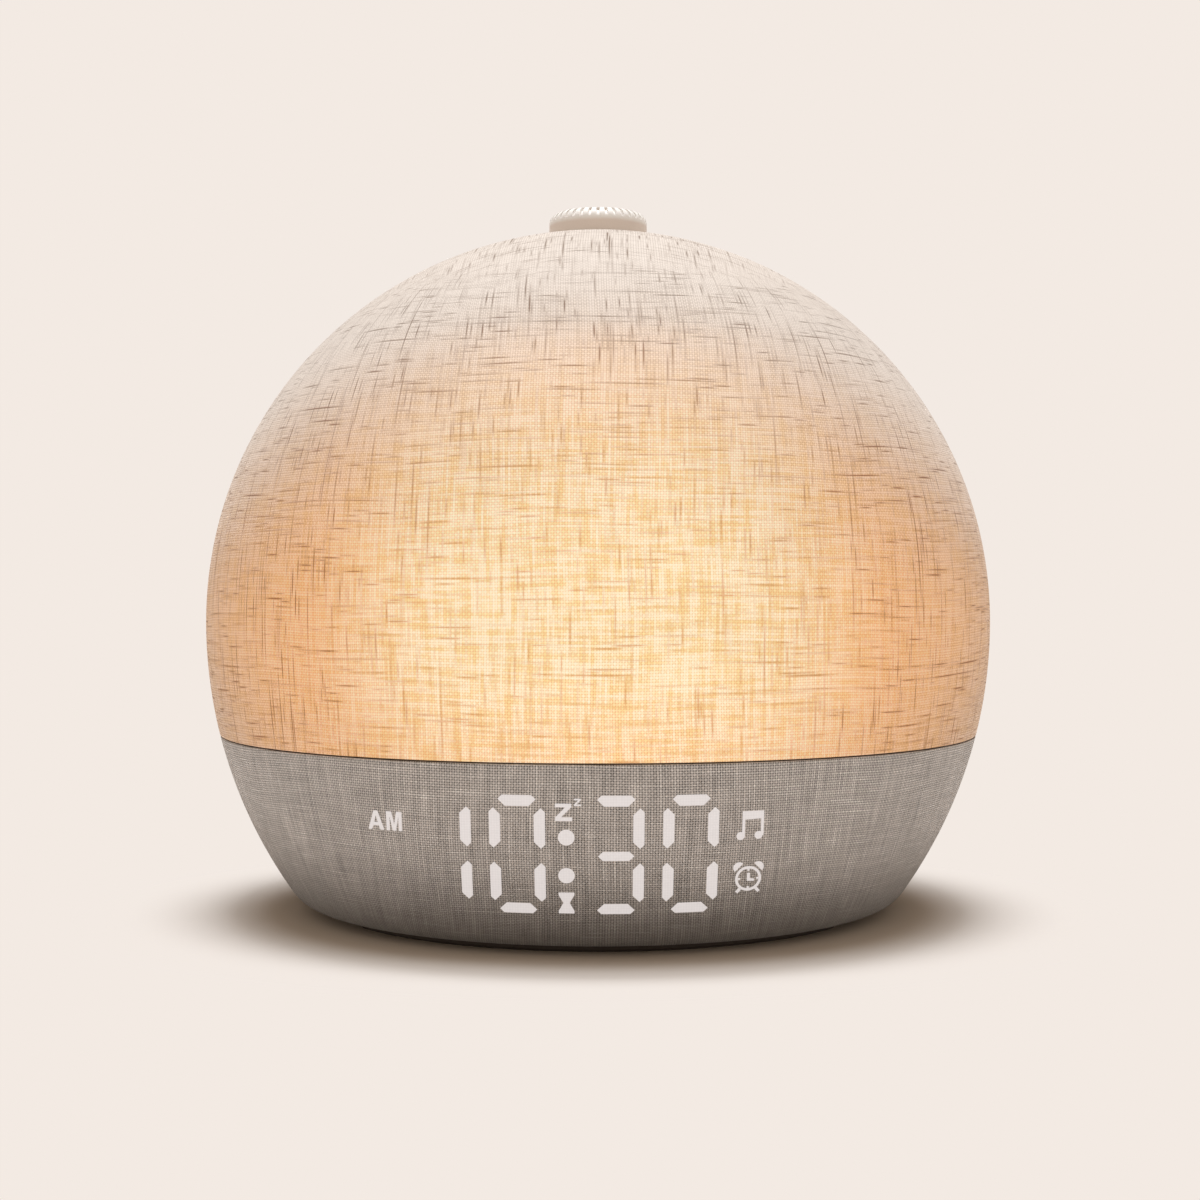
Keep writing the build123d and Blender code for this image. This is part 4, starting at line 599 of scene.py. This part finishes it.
def mark_light(display, pitch):
    """Warm white light of a display mark, seen through the weave"""
    finish = Finish("display_light")
    x, y, z, _ = finish.place()
    turn = 2 * pi / pitch
    lace = (x * turn).cosine() * 0.5 + (z * turn).cosine() * 0.5
    grain = finish.noise(finish.join(x, y, z), 1.6, 3.0)
    light = finish.scaled(tuple(display.colour), 0.94 + lace * 0.05 + grain * 0.10)
    return finish.surface(
        Base_Color=(0.24, 0.225, 0.215), Roughness=0.8, Specular_IOR_Level=0.2,
        Emission_Color=light, Emission_Strength=1.0,
    )


# ---- Modelling helpers ---------------------------------------------------------------------------

MERGE_REACH = 0.004             # mm between points that are one
SMOOTH_ANGLE = radians(50)


def release():
    """Goes back to object mode with nothing selected"""
    if bpy.context.object and bpy.context.object.mode != "OBJECT":
        bpy.ops.object.mode_set(mode="OBJECT")
    bpy.ops.object.select_all(action="DESELECT")


def take(piece):
    """Makes one object the selected and active one"""
    release()
    piece.select_set(True)
    bpy.context.view_layer.objects.active = piece


def smooth(piece):
    """Shades a piece smooth, apart from its sharp edges"""
    take(piece)
    bpy.ops.object.shade_smooth_by_angle(angle=SMOOTH_ANGLE)


def named(name):
    """Names the active object and its mesh"""
    piece = bpy.context.object
    piece.name = name
    piece.data.name = name
    return piece


def apply_modifier(piece, kind, **settings):
    """Adds a modifier with these settings and applies it"""
    take(piece)
    modifier = piece.modifiers.new(kind.title(), kind)
    for key, value in settings.items():
        setattr(modifier, key, value)
    bpy.ops.object.modifier_apply(modifier=modifier.name)


def settle(piece):
    """Merges doubles, turns the faces outwards and puts the piece's place into its mesh"""
    take(piece)
    bpy.ops.object.transform_apply(location=True, rotation=True, scale=True)
    bpy.ops.object.mode_set(mode="EDIT")
    bpy.ops.mesh.select_all(action="SELECT")
    bpy.ops.mesh.remove_doubles(threshold=MERGE_REACH * MM)
    bpy.ops.mesh.normals_make_consistent(inside=False)
    release()


def finish_piece(piece, body, slot, material, *nodes):
    """Rides the piece on its body, hides the nodes it stands for, and gives it its material; slot is not
    used
    """
    piece.data.materials.clear()
    piece.data.materials.append(material)
    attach(piece, body)
    if nodes:
        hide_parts(*nodes)


def dress(material, *nodes):
    """Gives CAD nodes a material in place of their plain one"""
    for node in nodes:
        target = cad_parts[node]
        for slot in target.material_slots:
            slot.material = material
        if not target.material_slots:
            target.data.materials.append(material)


def spun(name, outline, steps):
    """Turns a closed outline of (radius, height) in mm, drawn behind the axis, into a ring"""
    release()
    bpy.ops.mesh.primitive_plane_add(size=MM, location=(0, 0, 0))
    piece = named(name)
    bpy.ops.object.mode_set(mode="EDIT")
    bpy.ops.mesh.select_mode(type="VERT")
    bpy.ops.mesh.select_all(action="SELECT")
    bpy.ops.mesh.merge(type="CENTER")
    bpy.ops.transform.translate(value=(0, outline[0][0] * MM, outline[0][1] * MM))
    for (radius, height), (last_radius, last_height) in zip(outline[1:], outline):
        step = (0, (radius - last_radius) * MM, (height - last_height) * MM)
        bpy.ops.mesh.extrude_region_move(TRANSFORM_OT_translate={"value": step})
    bpy.ops.mesh.select_all(action="SELECT")
    bpy.ops.mesh.edge_face_add()
    bpy.ops.mesh.delete(type="ONLY_FACE")
    bpy.ops.mesh.select_all(action="SELECT")
    bpy.ops.mesh.spin(steps=steps, angle=2 * pi, center=(0, 0, 0), axis=(0, 0, 1))
    settle(piece)
    return piece


def arc_points(centre, radius, start, end, count):
    """Points on an arc from one angle to another, in degrees"""
    turns = [radians(start + (end - start) * index / count) for index in range(count + 1)]
    return [(centre[0] + radius * cos(turn), centre[1] + radius * sin(turn)) for turn in turns]


def face_points(low, high, depth, count):
    """Points up the ball's face between two heights, evenly spaced along it"""
    rise = [low + (high - low) * index / count for index in range(count + 1)]
    return [(reach(z, depth), z) for z in rise]


def map_weave(piece):
    """Gives the skin its weave map: azimuth across, distance up the face upwards, in metres"""
    mesh = piece.data
    chart = mesh.uv_layers.get("weave") or mesh.uv_layers.new(name="weave")
    for face in mesh.polygons:
        middle = atan2(face.center.x, -face.center.y)
        for corner in face.loop_indices:
            spot = mesh.vertices[mesh.loops[corner].vertex_index].co / MM
            azimuth = atan2(spot.x, -spot.y)
            if azimuth - middle > pi:
                azimuth -= 2 * pi
            elif middle - azimuth > pi:
                azimuth += 2 * pi
            radius = sqrt(spot.x ** 2 + spot.y ** 2)
            arc = BALL_RADIUS if spot.z > GIRTH_Z else SIDE_RADIUS
            up = arc * asin(max(-1.0, min(1.0, (spot.z - GIRTH_Z) / arc)))
            under = max(0.0, UNDERSIDE_Z + CORNER_RADIUS - spot.z) / CORNER_RADIUS
            up -= under ** 2 * CORNER_RADIUS * CORNER_TUCK
            across = BALL_RADIUS * azimuth - (BALL_RADIUS - radius) * sin(2 * azimuth) / 2
            chart.data[corner].uv = (across * MM, up * MM)


# ---- Display marks -------------------------------------------------------------------------------

# Places and sizes in mm on the clock's front, with x to the right
DIGIT_Z = 18.3
DIGIT_WIDTH = 9.05
DIGIT_HEIGHT = 20.35
STROKE = 1.8
STROKE_TIP = 0.68
LEVEL_STROKE = 6.1
UPRIGHT_STROKE = 6.8
MIDDLE_STROKE = (5.8, 1.55, 0.775)
DIGITS = (
    ("digit_hour_tens", -25.05, "1"),
    ("digit_hour_ones", -13.0, "0"),
    ("digit_minute_tens", 2.9, "3"),
    ("digit_minute_ones", 14.95, "0"),
)
LIT = {"1": "bc", "0": "abcdef", "3": "abcdg"}
COLON_DOTS = ((-5.1, 21.49), (-5.1, 14.95))
COLON_RADIUS = 1.33
LETTER_A = (-38.02, 21.5)
LETTER_M = (-34.78, 21.5)
LARGE_Z = (-6.86, 24.28)
SMALL_Z = (-3.84, 26.77)
SMALL_Z_SIZE = 0.42
HOURGLASS = (-6.41, 8.22)
ALARM_DIAL = (24.62, 13.7)
DRAWING_GAP = 10                # how far in front of the ball the marks are drawn
OVERLAP_LIFT = 0.01             # keeps a mark off the one that it meets


def stroke_outline(length, thickness=STROKE, tip=STROKE_TIP):
    """Stroke along x with pointed ends and its outer edge up"""
    half = length / 2
    top = thickness / 2
    point = top - tip
    return [
        (-half, point), (top - point - half, top), (half + point - top, top), (half, point),
        (half - point - top, -top), (top + point - half, -top),
    ]


def turned(outline, angle, x=0.0, z=0.0):
    """An outline turned by an angle in degrees and moved"""
    c = cos(radians(angle))
    s = sin(radians(angle))
    return [(x + c * a - s * b, z + s * a + c * b) for a, b in outline]


def digit_outlines(x, digit):
    """The lit strokes of one digit"""
    side = (DIGIT_WIDTH - STROKE) / 2
    rise = (DIGIT_HEIGHT - STROKE) / 2
    level = stroke_outline(LEVEL_STROKE)
    upright = stroke_outline(UPRIGHT_STROKE)
    strokes = {
        "a": turned(level, 0, x, DIGIT_Z + rise),
        "b": turned(upright, -90, x + side, DIGIT_Z + rise / 2),
        "c": turned(upright, -90, x + side, DIGIT_Z - rise / 2),
        "d": turned(level, 180, x, DIGIT_Z - rise),
        "e": turned(upright, 90, x - side, DIGIT_Z - rise / 2),
        "f": turned(upright, 90, x - side, DIGIT_Z + rise / 2),
        "g": turned(stroke_outline(*MIDDLE_STROKE), 0, x, DIGIT_Z),
    }
    return [strokes[key] for key in LIT[digit]]


def disc(x, z, radius, count=32):
    """A circle's outline"""
    return arc_points((x, z), radius, 0, 360 - 360 / count, count - 1)


def bar(x0, z0, x1, z1, width):
    """A straight bar between two points"""
    angle = atan2(z1 - z0, x1 - x0)
    dx = -sin(angle) * width / 2
    dz = cos(angle) * width / 2
    return [(x0 + dx, z0 + dz), (x0 - dx, z0 - dz), (x1 - dx, z1 - dz), (x1 + dx, z1 + dz)]


def moved(outline, x, z):
    """An outline moved"""
    return turned(outline, 0, x, z)


def meridiem_outlines():
    """AM mark"""
    a_edge = [(0, 0), (1.06, 3.3), (1.74, 3.3), (2.8, 0), (2.14, 0), (1.91, 0.74), (0.89, 0.74), (0.66, 0)]
    a_hole = [(1.07, 1.28), (1.73, 1.28), (1.4, 2.5)]
    m_edge = [
        (0, 0), (0, 3.3), (0.9, 3.3), (1.34, 1.05), (1.78, 3.3), (2.68, 3.3), (2.68, 0), (2.12, 0),
        (2.12, 2.6), (1.61, 0), (1.07, 0), (0.56, 2.6), (0.56, 0),
    ]
    return [moved(a_edge, *LETTER_A), moved(a_hole, *LETTER_A), moved(m_edge, *LETTER_M)]


def sleep_outlines():
    """Large and small z"""
    large = [
        (0, 2.87), (2.6, 2.87), (2.6, 2.3), (0.95, 0.6), (2.73, 0.6), (2.73, 0), (0, 0), (0, 0.55),
        (1.64, 2.27), (0, 2.27),
    ]
    small = [(x * SMALL_Z_SIZE, z * SMALL_Z_SIZE) for x, z in large]
    return [moved(large, *LARGE_Z), moved(small, *SMALL_Z)]


def timer_outlines():
    """Hourglass"""
    glass = [
        (0, 3.74), (2.56, 3.74), (2.56, 3.3), (1.79, 1.9), (2.56, 0.44), (2.56, 0), (0, 0), (0, 0.44),
        (0.77, 1.9), (0, 3.3),
    ]
    return [moved(glass, *HOURGLASS)]


def music_outlines():
    """Two notes under one beam: its stems, and its heads"""
    stems = [
        (23.3, 21.0), (23.3, 25.42), (26.88, 25.42), (26.88, 21.2), (26.42, 21.2), (26.42, 24.1),
        (23.76, 24.0), (23.76, 21.0),
    ]
    return [stems], [disc(23.06, 21.22, 0.68), disc(26.06, 21.27, 0.66)]


def alarm_outlines():
    """Twin-bell alarm clock: its dial, and its bells with its feet"""
    x, z = ALARM_DIAL
    ring = [disc(x, z, 2.2, 48), disc(x, z, 1.76, 48)]
    hands = moved([(-0.2, 1.0), (0.27, 1.0), (0.27, 0.02), (1.02, -0.1), (1.02, -0.48), (-0.2, -0.4)], x, z)
    ticks = [
        bar(x + 1.38 * dx, z + 1.38 * dz, x + 1.72 * dx, z + 1.72 * dz, 0.36)
        for dx, dz in ((0, 1), (1, 0), (0, -1), (-1, 0))
    ]
    bells = [
        turned(arc_points((0, 0), 0.95, 0, 180, 16), turn, x + side * 1.62, z + 2.0)
        for side, turn in ((-1, 46), (1, -46))
    ]
    feet = [bar(x + side * 1.34, z - 1.78, x + side * 1.9, z - 2.44, 0.52) for side in (-1, 1)]
    return [*ring, hands, *ticks], [*bells, *feet]


def flat_mark(name, outlines):
    """A filled flat shape in front of the ball from closed outlines of (x, z) in mm"""
    release()
    drawing = bpy.data.curves.new(name, "CURVE")
    drawing.dimensions = "2D"
    drawing.fill_mode = "BOTH"
    for outline in outlines:
        spline = drawing.splines.new("POLY")
        spline.points.add(len(outline) - 1)
        for point, (x, z) in zip(spline.points, outline):
            point.co = (x * MM, z * MM, 0, 1)
        spline.use_cyclic_u = True
    piece = bpy.data.objects.new(name, drawing)
    bpy.context.collection.objects.link(piece)
    take(piece)
    bpy.ops.object.convert(target="MESH")
    piece = named(name)
    piece.rotation_euler = (pi / 2, 0, 0)
    piece.location = (0, -(BALL_RADIUS + DRAWING_GAP) * MM, 0)
    bpy.ops.object.transform_apply(location=True, rotation=True, scale=True)
    return piece


def grid_cut(piece, cell):
    """Cuts a flat mark on a square grid, so that it can follow the ball"""
    take(piece)
    bpy.ops.object.mode_set(mode="EDIT")
    for axis in (0, 2):
        spots = [vertex.co[axis] for vertex in bmesh.from_edit_mesh(piece.data).verts]
        low = min(spots)
        high = max(spots)
        normal = [0, 0, 0]
        normal[axis] = 1
        for index in range(min(int(low / cell), 0), max(int(high / cell), 0) + 1):
            level = (index + 0.5) * cell
            if low < level < high:
                place = [level * part for part in normal]
                bpy.ops.mesh.select_all(action="SELECT")
                bpy.ops.mesh.bisect(plane_co=place, plane_no=normal)
    release()


def lay_on(piece, skin, lift):
    """Lays a flat mark on the skin along y, a little proud of it, as a thin closed film"""
    apply_modifier(
        piece, "SHRINKWRAP", wrap_method="PROJECT", use_project_y=True, use_positive_direction=True,
        use_negative_direction=False, target=skin, offset=0.0,
    )
    take(piece)
    bpy.ops.object.mode_set(mode="EDIT")
    bpy.ops.mesh.select_all(action="SELECT")
    bpy.ops.transform.translate(value=(0, -lift, 0))
    release()
    apply_modifier(piece, "SOLIDIFY", thickness=lift, offset=-1.0)
    settle(piece)


# ---- Operators -----------------------------------------------------------------------------------


def window_cutter():
    """Block with four rounded edges that cuts the rear panel's window"""
    release()
    bpy.ops.mesh.primitive_cube_add(size=MM, location=(0, REAR_REACH * MM, REAR_CENTRE_Z * MM))
    window = named("window_cutter")
    window.scale = (REAR_WIDTH, REAR_REACH, REAR_HEIGHT)
    bpy.ops.object.transform_apply(location=True, rotation=True, scale=True)
    bpy.ops.object.mode_set(mode="EDIT")
    bpy.ops.mesh.select_all(action="DESELECT")
    bpy.ops.mesh.select_mode(type="EDGE")
    for edge in bmesh.from_edit_mesh(window.data).edges:
        edge.select_set(abs((edge.verts[0].co - edge.verts[1].co).y) > REAR_REACH / 2 * MM)
    bmesh.update_edit_mesh(window.data)
    bpy.ops.mesh.bevel(offset=REAR_CORNER * MM, segments=REAR_CORNER_STEPS, affect="EDGES")
    release()
    return window


class CLOCK_OT_dome_cloth(Operator):
    """Cream linen skin of the dome, hemmed at the seam and round the knob's well"""

    bl_idname = "clock.dome_cloth"
    bl_label = "Dome cloth"

    def execute(self, context):
        cloth = context.scene.clock_cloth
        hem = cloth.hem_radius / MM
        inner = CLOTH_THICKNESS
        low = DOME_LOW_Z + CLOTH_GAP
        crown_z = GIRTH_Z + sqrt(BALL_RADIUS ** 2 - (DOME_HOLE_RADIUS + hem) ** 2)
        lip = low - LIP_DROP
        outline = face_points(lip + hem, GIRTH_Z, 0.0, cloth.upright // 3)
        turn = asin((crown_z - GIRTH_Z) / BALL_RADIUS) * 180 / pi
        outline += arc_points((0, GIRTH_Z), BALL_RADIUS, 0, turn, cloth.upright)[1:]
        rim = (DOME_HOLE_RADIUS + hem + CLOTH_GAP, crown_z - hem)
        outline += arc_points(rim, hem, 100, 180, HEM_STEPS)
        inner_crown = GIRTH_Z + sqrt((BALL_RADIUS - inner) ** 2 - DOME_HOLE_RADIUS ** 2)
        outline.append((DOME_HOLE_RADIUS + CLOTH_GAP, inner_crown))
        turn = asin((inner_crown - GIRTH_Z) / (BALL_RADIUS - inner)) * 180 / pi
        outline += arc_points((0, GIRTH_Z), BALL_RADIUS - inner, turn, 0, cloth.upright // 2)[1:]
        outline += face_points(low, GIRTH_Z, inner, cloth.upright // 6)[::-1][1:]
        outline += [(reach(low) - LIP_DEPTH, low), (reach(low) - LIP_DEPTH, lip + CLOTH_GAP)]
        outline += arc_points((reach(lip + hem) - hem, lip + hem), hem, -90, -8, HEM_STEPS)[:-1]
        piece = spun("dome_cloth", outline, cloth.around)
        map_weave(piece)
        smooth(piece)
        finish_piece(
            piece, "base", "dome_linen", dome_linen(cloth, context.scene.clock_glow), "dome_fabric",
        )
        return {"FINISHED"}


class CLOCK_OT_base_cloth(Operator):
    """Grey-taupe linen skin of the base, with a window at the back"""

    bl_idname = "clock.base_cloth"
    bl_label = "Base cloth"

    def execute(self, context):
        cloth = context.scene.clock_cloth
        hem = cloth.hem_radius / MM
        inner = CLOTH_THICKNESS
        top = BASE_TOP_Z - CLOTH_GAP
        lip = top + LIP_DROP
        face, lining = CORNER_STEPS
        centre_z = UNDERSIDE_Z + CORNER_RADIUS
        corner = (reach(centre_z, CORNER_RADIUS), centre_z)
        lean = -asin((GIRTH_Z - centre_z) / (SIDE_RADIUS - CORNER_RADIUS)) * 180 / pi
        outline = [(BASE_HOLE_RADIUS, UNDERSIDE_Z + inner), (BASE_HOLE_RADIUS, UNDERSIDE_Z + CLOTH_GAP)]
        outline += arc_points(corner, CORNER_RADIUS, -90, lean, face)
        start = outline[-1][1]
        outline += face_points(start, lip - hem, 0.0, cloth.upright // 2)[1:]
        outline += arc_points((reach(lip - hem) - hem, lip - hem), hem, 12, 90, HEM_STEPS)
        outline += [(reach(top) - LIP_DEPTH, lip - CLOTH_GAP), (reach(top) - LIP_DEPTH, top)]
        outline += face_points(centre_z, top, inner, cloth.upright // 4)[::-1]
        outline += arc_points(corner, CORNER_RADIUS - inner, lean, -90, lining)[1:]
        piece = spun("base_cloth", outline, cloth.around)
        window = window_cutter()
        apply_modifier(piece, "BOOLEAN", operation="DIFFERENCE", solver="EXACT", object=window)
        bpy.data.objects.remove(window)

        map_weave(piece)
        smooth(piece)
        finish_piece(piece, "base", "base_linen", base_linen(cloth), "base_fabric")
        return {"FINISHED"}


class CLOCK_OT_display_marks(Operator):
    """Digits, colon and icons that shine through the base's cloth"""

    bl_idname = "clock.display_marks"
    bl_label = "Display marks"

    def execute(self, context):
        display = context.scene.clock_display
        skin = bpy.data.objects["base_cloth"]
        light = mark_light(display, thread_pitch(context.scene.clock_cloth))
        notes, heads = music_outlines()
        dial, bells = alarm_outlines()
        marks = {name: digit_outlines(x, digit) for name, x, digit in DIGITS}
        marks |= {
            "colon": [disc(x, z, COLON_RADIUS) for x, z in COLON_DOTS],
            "meridiem_mark": meridiem_outlines(),
            "sleep_mark": sleep_outlines(),
            "timer_mark": timer_outlines(),
            "music_stems": notes,
            "music_heads": heads,
            "alarm_dial": dial,
            "alarm_bells": bells,
        }
        for name, outlines in marks.items():
            piece = flat_mark(name, outlines)
            grid_cut(piece, display.cell)
            extra = OVERLAP_LIFT * MM if name in ("music_heads", "alarm_bells") else 0.0
            lay_on(piece, skin, display.lift + extra)
            finish_piece(piece, "base", "led_white", light)
        return {"FINISHED"}


class CLOCK_OT_casing_finishes(Operator):
    """Finishes of the casing, knob, buttons and feet"""

    bl_idname = "clock.casing_finishes"
    bl_label = "Casing finishes"

    def execute(self, context):
        dress(knob_satin(), "knob_cap")
        dress(moulded("well_white", (0.74, 0.68, 0.62), 0.5), "knob_well")
        dress(
            moulded("casing_taupe", (0.16, 0.14, 0.125), 0.55, 0.08),
            "base_shell", "base_plate", "rear_panel",
        )
        dress(
            moulded("button_taupe", (0.24, 0.21, 0.19), 0.42, 0.04),
            "alarm_button", "sound_button", "timer_button", "light_button",
        )
        dress(moulded("seam_brown", (0.05, 0.035, 0.028), 0.7), "seam_ring")
        dress(
            moulded("foot_rubber", (0.11, 0.088, 0.072), 0.75, 0.12),
            "foot_pads", "speaker_surround",
        )
        dress(
            moulded("inner_black", (0.02, 0.02, 0.02), 0.5),
            "chassis", "speaker_box", "centre_column", "coin_cell_holder", "display_housing",
        )
        dress(
            moulded("component_black", (0.018, 0.018, 0.018), 0.4, 0.03),
            "main_board_parts", "button_switches", "alarm_button_plunger", "sound_button_plunger",
            "timer_button_plunger", "light_button_plunger", "encoder_rotor", "encoder_plunger", "power_jack",
        )
        dress(moulded("gasket_foam", (0.03, 0.03, 0.03), 0.95, 0.3, scale=0.8), "speaker_gasket")
        dress(
            moulded("cable_grey", (0.3, 0.3, 0.3), 0.5),
            "display_ribbon", "wiring_harness", "encoder_cable",
        )
        return {"FINISHED"}


class CLOCK_OT_light_finishes(Operator):
    """Finishes of what spreads or gives light"""

    bl_idname = "clock.light_finishes"
    bl_label = "Light finishes"

    def execute(self, context):
        dress(milky("diffuser_milky", (0.86, 0.80, 0.70)), "dome_diffuser")
        dress(milky("reflector_white", (0.88, 0.86, 0.82)), "reflector")
        dress(milky("lens_milky", (0.8, 0.77, 0.74)), "display_lenses")
        dress(milky("led_phosphor", (0.9, 0.78, 0.4), 0.3), "led_emitters", "display_leds")
        return {"FINISHED"}


class CLOCK_OT_speaker_spider(Operator):
    """Corrugated cloth that centres the speaker's coil and gives with its stroke"""

    bl_idname = "clock.speaker_spider"
    bl_label = "Speaker spider"

    def execute(self, context):
        low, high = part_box("speaker_spider")
        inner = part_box("speaker_voice_coil")[1][0] / MM
        outer = high[0] / MM
        low_z = low[2] / MM
        rise = (high[2] - low[2]) / MM - SPIDER_SPACE
        under = []
        for index in range(SPIDER_STEPS + 1):
            share = index / SPIDER_STEPS
            wave = SPIDER_WAVE * sin(2 * pi * SPIDER_ROLLS * share)
            z = low_z + rise * share + SPIDER_SPACE / 4 + wave
            under.append((inner + (outer - inner) * share, z))
        over = [(radius, z + SPIDER_SPACE / 2) for radius, z in under[::-1]]
        piece = spun("spider_cloth", under + over, SPIDER_AROUND)
        smooth(piece)
        piece.data.materials.append(pressed_paper("spider_cloth", (0.42, 0.3, 0.13)))
        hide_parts("speaker_spider")
        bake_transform(piece)
        return {"FINISHED"}


class CLOCK_OT_metal_finishes(Operator):
    """Finishes of screws, encoder, speaker and boards"""

    bl_idname = "clock.metal_finishes"
    bl_label = "Metal and board finishes"

    def execute(self, context):
        dress(
            turned_metal("screw_steel", (0.62, 0.62, 0.63), 0.3),
            "base_plate_screws", "dome_screws", "knob_mount_screws", "speaker_screws", "board_screws",
            "encoder_nut", "encoder_washer", "power_jack_nut", "coin_cell",
        )
        dress(
            turned_metal("pressed_steel", (0.5, 0.5, 0.5), 0.4, stretch=(1, 1, 1)),
            "speaker_basket", "speaker_yoke",
        )
        dress(turned_metal("encoder_metal", (0.7, 0.7, 0.7), 0.25), "encoder_body", "encoder_shaft")
        dress(
            turned_metal("coil_copper", (0.75, 0.36, 0.2), 0.3, stretch=(1, 1, 30)),
            "speaker_voice_coil",
        )
        dress(pressed_paper("magnet_ferrite", (0.05, 0.05, 0.055)), "speaker_magnet")
        dress(pressed_paper("cone_paper", (0.035, 0.035, 0.035)), "speaker_cone")
        dress(
            solder_mask("circuit_board"),
            "main_board", "io_board", "led_board", "display_board", "encoder_board",
        )
        return {"FINISHED"}


def floor_paper(stage):
    """Matt paper under the clock, with a painted contact shadow at its foot, that fades into the plain
    background
    """
    finish = Finish("floor_paper")
    x, y, _, spot = finish.place()
    radius = (x * x + y * y) ** 0.5
    ahead = (y + FADE_SHIFT) * FADE_SQUASH
    away = ((x * x + ahead * ahead) ** 0.5).ramp(*FADE_RADII)
    # painted contact shadow: the paper is darkened inside the inner radius and left clear outside the outer
    clear = radius.ramp(*CONTACT_SHADOW_RADII)
    paper = finish.scaled(tuple(stage.paper), 0.995 + finish.noise(spot, 0.8, 2.0) * 0.01)
    paper = finish.mix(1.0, paper, finish.mix(clear, CONTACT_SHADOW_TINT, (1.0, 1.0, 1.0)), "MULTIPLY")
    matt = finish.node("ShaderNodeBsdfDiffuse", None, {"Color": paper, "Roughness": 0.6})
    plain = {"Color": (*stage.backdrop, 1.0), "Strength": 1.0}
    flat = finish.node("ShaderNodeEmission", None, plain)
    blend = finish.node("ShaderNodeMixShader", None, {0: away * finish.seen(), 1: matt, 2: flat})
    return finish.show(blend)


def studio(stage):
    """Light from all round, with the plain background where it is looked at"""
    finish = Finish("studio", world=True)
    glow = {"Color": ROOM_COLOUR, "Strength": stage.room_light}
    room = finish.node("ShaderNodeBackground", None, glow)
    plain = finish.node("ShaderNodeBackground", None, {"Color": (*stage.backdrop, 1.0)})
    blend = finish.node("ShaderNodeMixShader", None, {0: finish.seen(), 1: room, 2: plain})
    return finish.show(blend)


class CLOCK_OT_stage(Operator):
    """Pale floor that fades into the background, soft box, room light and camera"""

    bl_idname = "clock.stage"
    bl_label = "Stage"

    def execute(self, context):
        stage = context.scene.clock_stage
        release()
        bpy.ops.mesh.primitive_circle_add(
            vertices=FLOOR_STEPS, radius=FLOOR_RADIUS, fill_type="NGON", location=(0, 0, 0),
        )
        floor = named("floor")
        floor.data.materials.append(floor_paper(stage))
        context.scene.world = studio(stage)

        release()
        bpy.ops.object.light_add(type="AREA", location=LAMP_PLACE, rotation=(LAMP_TILT, 0, 0))
        lamp = context.object
        lamp.name = "soft_box"
        lamp.data.shape = "RECTANGLE"
        lamp.data.size, lamp.data.size_y = LAMP_SIZE
        lamp.data.energy = stage.lamp_power
        lamp.data.color = LAMP_COLOUR

        bpy.ops.object.camera_add(
            location=(0, -stage.camera_distance, stage.camera_height), rotation=(radians(90), 0, 0),
        )
        camera = context.object
        camera.name = "camera"
        camera.data.sensor_width = SENSOR_WIDTH
        camera.data.lens = LENS
        camera.data.shift_x, camera.data.shift_y = SHIFT
        camera.data.clip_start, camera.data.clip_end = CLIP
        context.scene.camera = camera
        context.scene.view_settings.view_transform = "Standard"
        return {"FINISHED"}


class CLOCK_PT_dresser(Panel):
    """Lists the clock's settings and the steps that dress it"""

    bl_label = "Sunrise clock"
    bl_space_type = "VIEW_3D"
    bl_region_type = "UI"
    bl_category = "Clock"

    def draw(self, context):
        layout = self.layout
        for name in SETTINGS:
            group = getattr(context.scene, name)
            box = layout.box()
            for key in group.__annotations__:
                box.prop(group, key)
        for step in STEPS:
            layout.operator(step.bl_idname)


SETTINGS = {
    "clock_cloth": ClockCloth,
    "clock_glow": ClockGlow,
    "clock_display": ClockDisplay,
    "clock_stage": ClockStage,
}
STEPS = (
    CLOCK_OT_dome_cloth, CLOCK_OT_base_cloth, CLOCK_OT_display_marks, CLOCK_OT_casing_finishes,
    CLOCK_OT_light_finishes, CLOCK_OT_speaker_spider, CLOCK_OT_metal_finishes, CLOCK_OT_stage,
)


def register():
    """Registers the settings, steps and panel"""
    for name, group in SETTINGS.items():
        bpy.utils.register_class(group)
        setattr(bpy.types.Scene, name, PointerProperty(type=group))
    for step in (*STEPS, CLOCK_PT_dresser):
        bpy.utils.register_class(step)


def unregister():
    """Takes them out again"""
    for step in reversed((*STEPS, CLOCK_PT_dresser)):
        bpy.utils.unregister_class(step)
    for name, group in reversed(SETTINGS.items()):
        delattr(bpy.types.Scene, name)
        bpy.utils.unregister_class(group)


def main():
    """Dresses the clock"""
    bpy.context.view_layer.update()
    register()
    for step in STEPS:
        group, name = step.bl_idname.split(".")
        getattr(getattr(bpy.ops, group), name)()


if __name__ == "__main__":
    main()
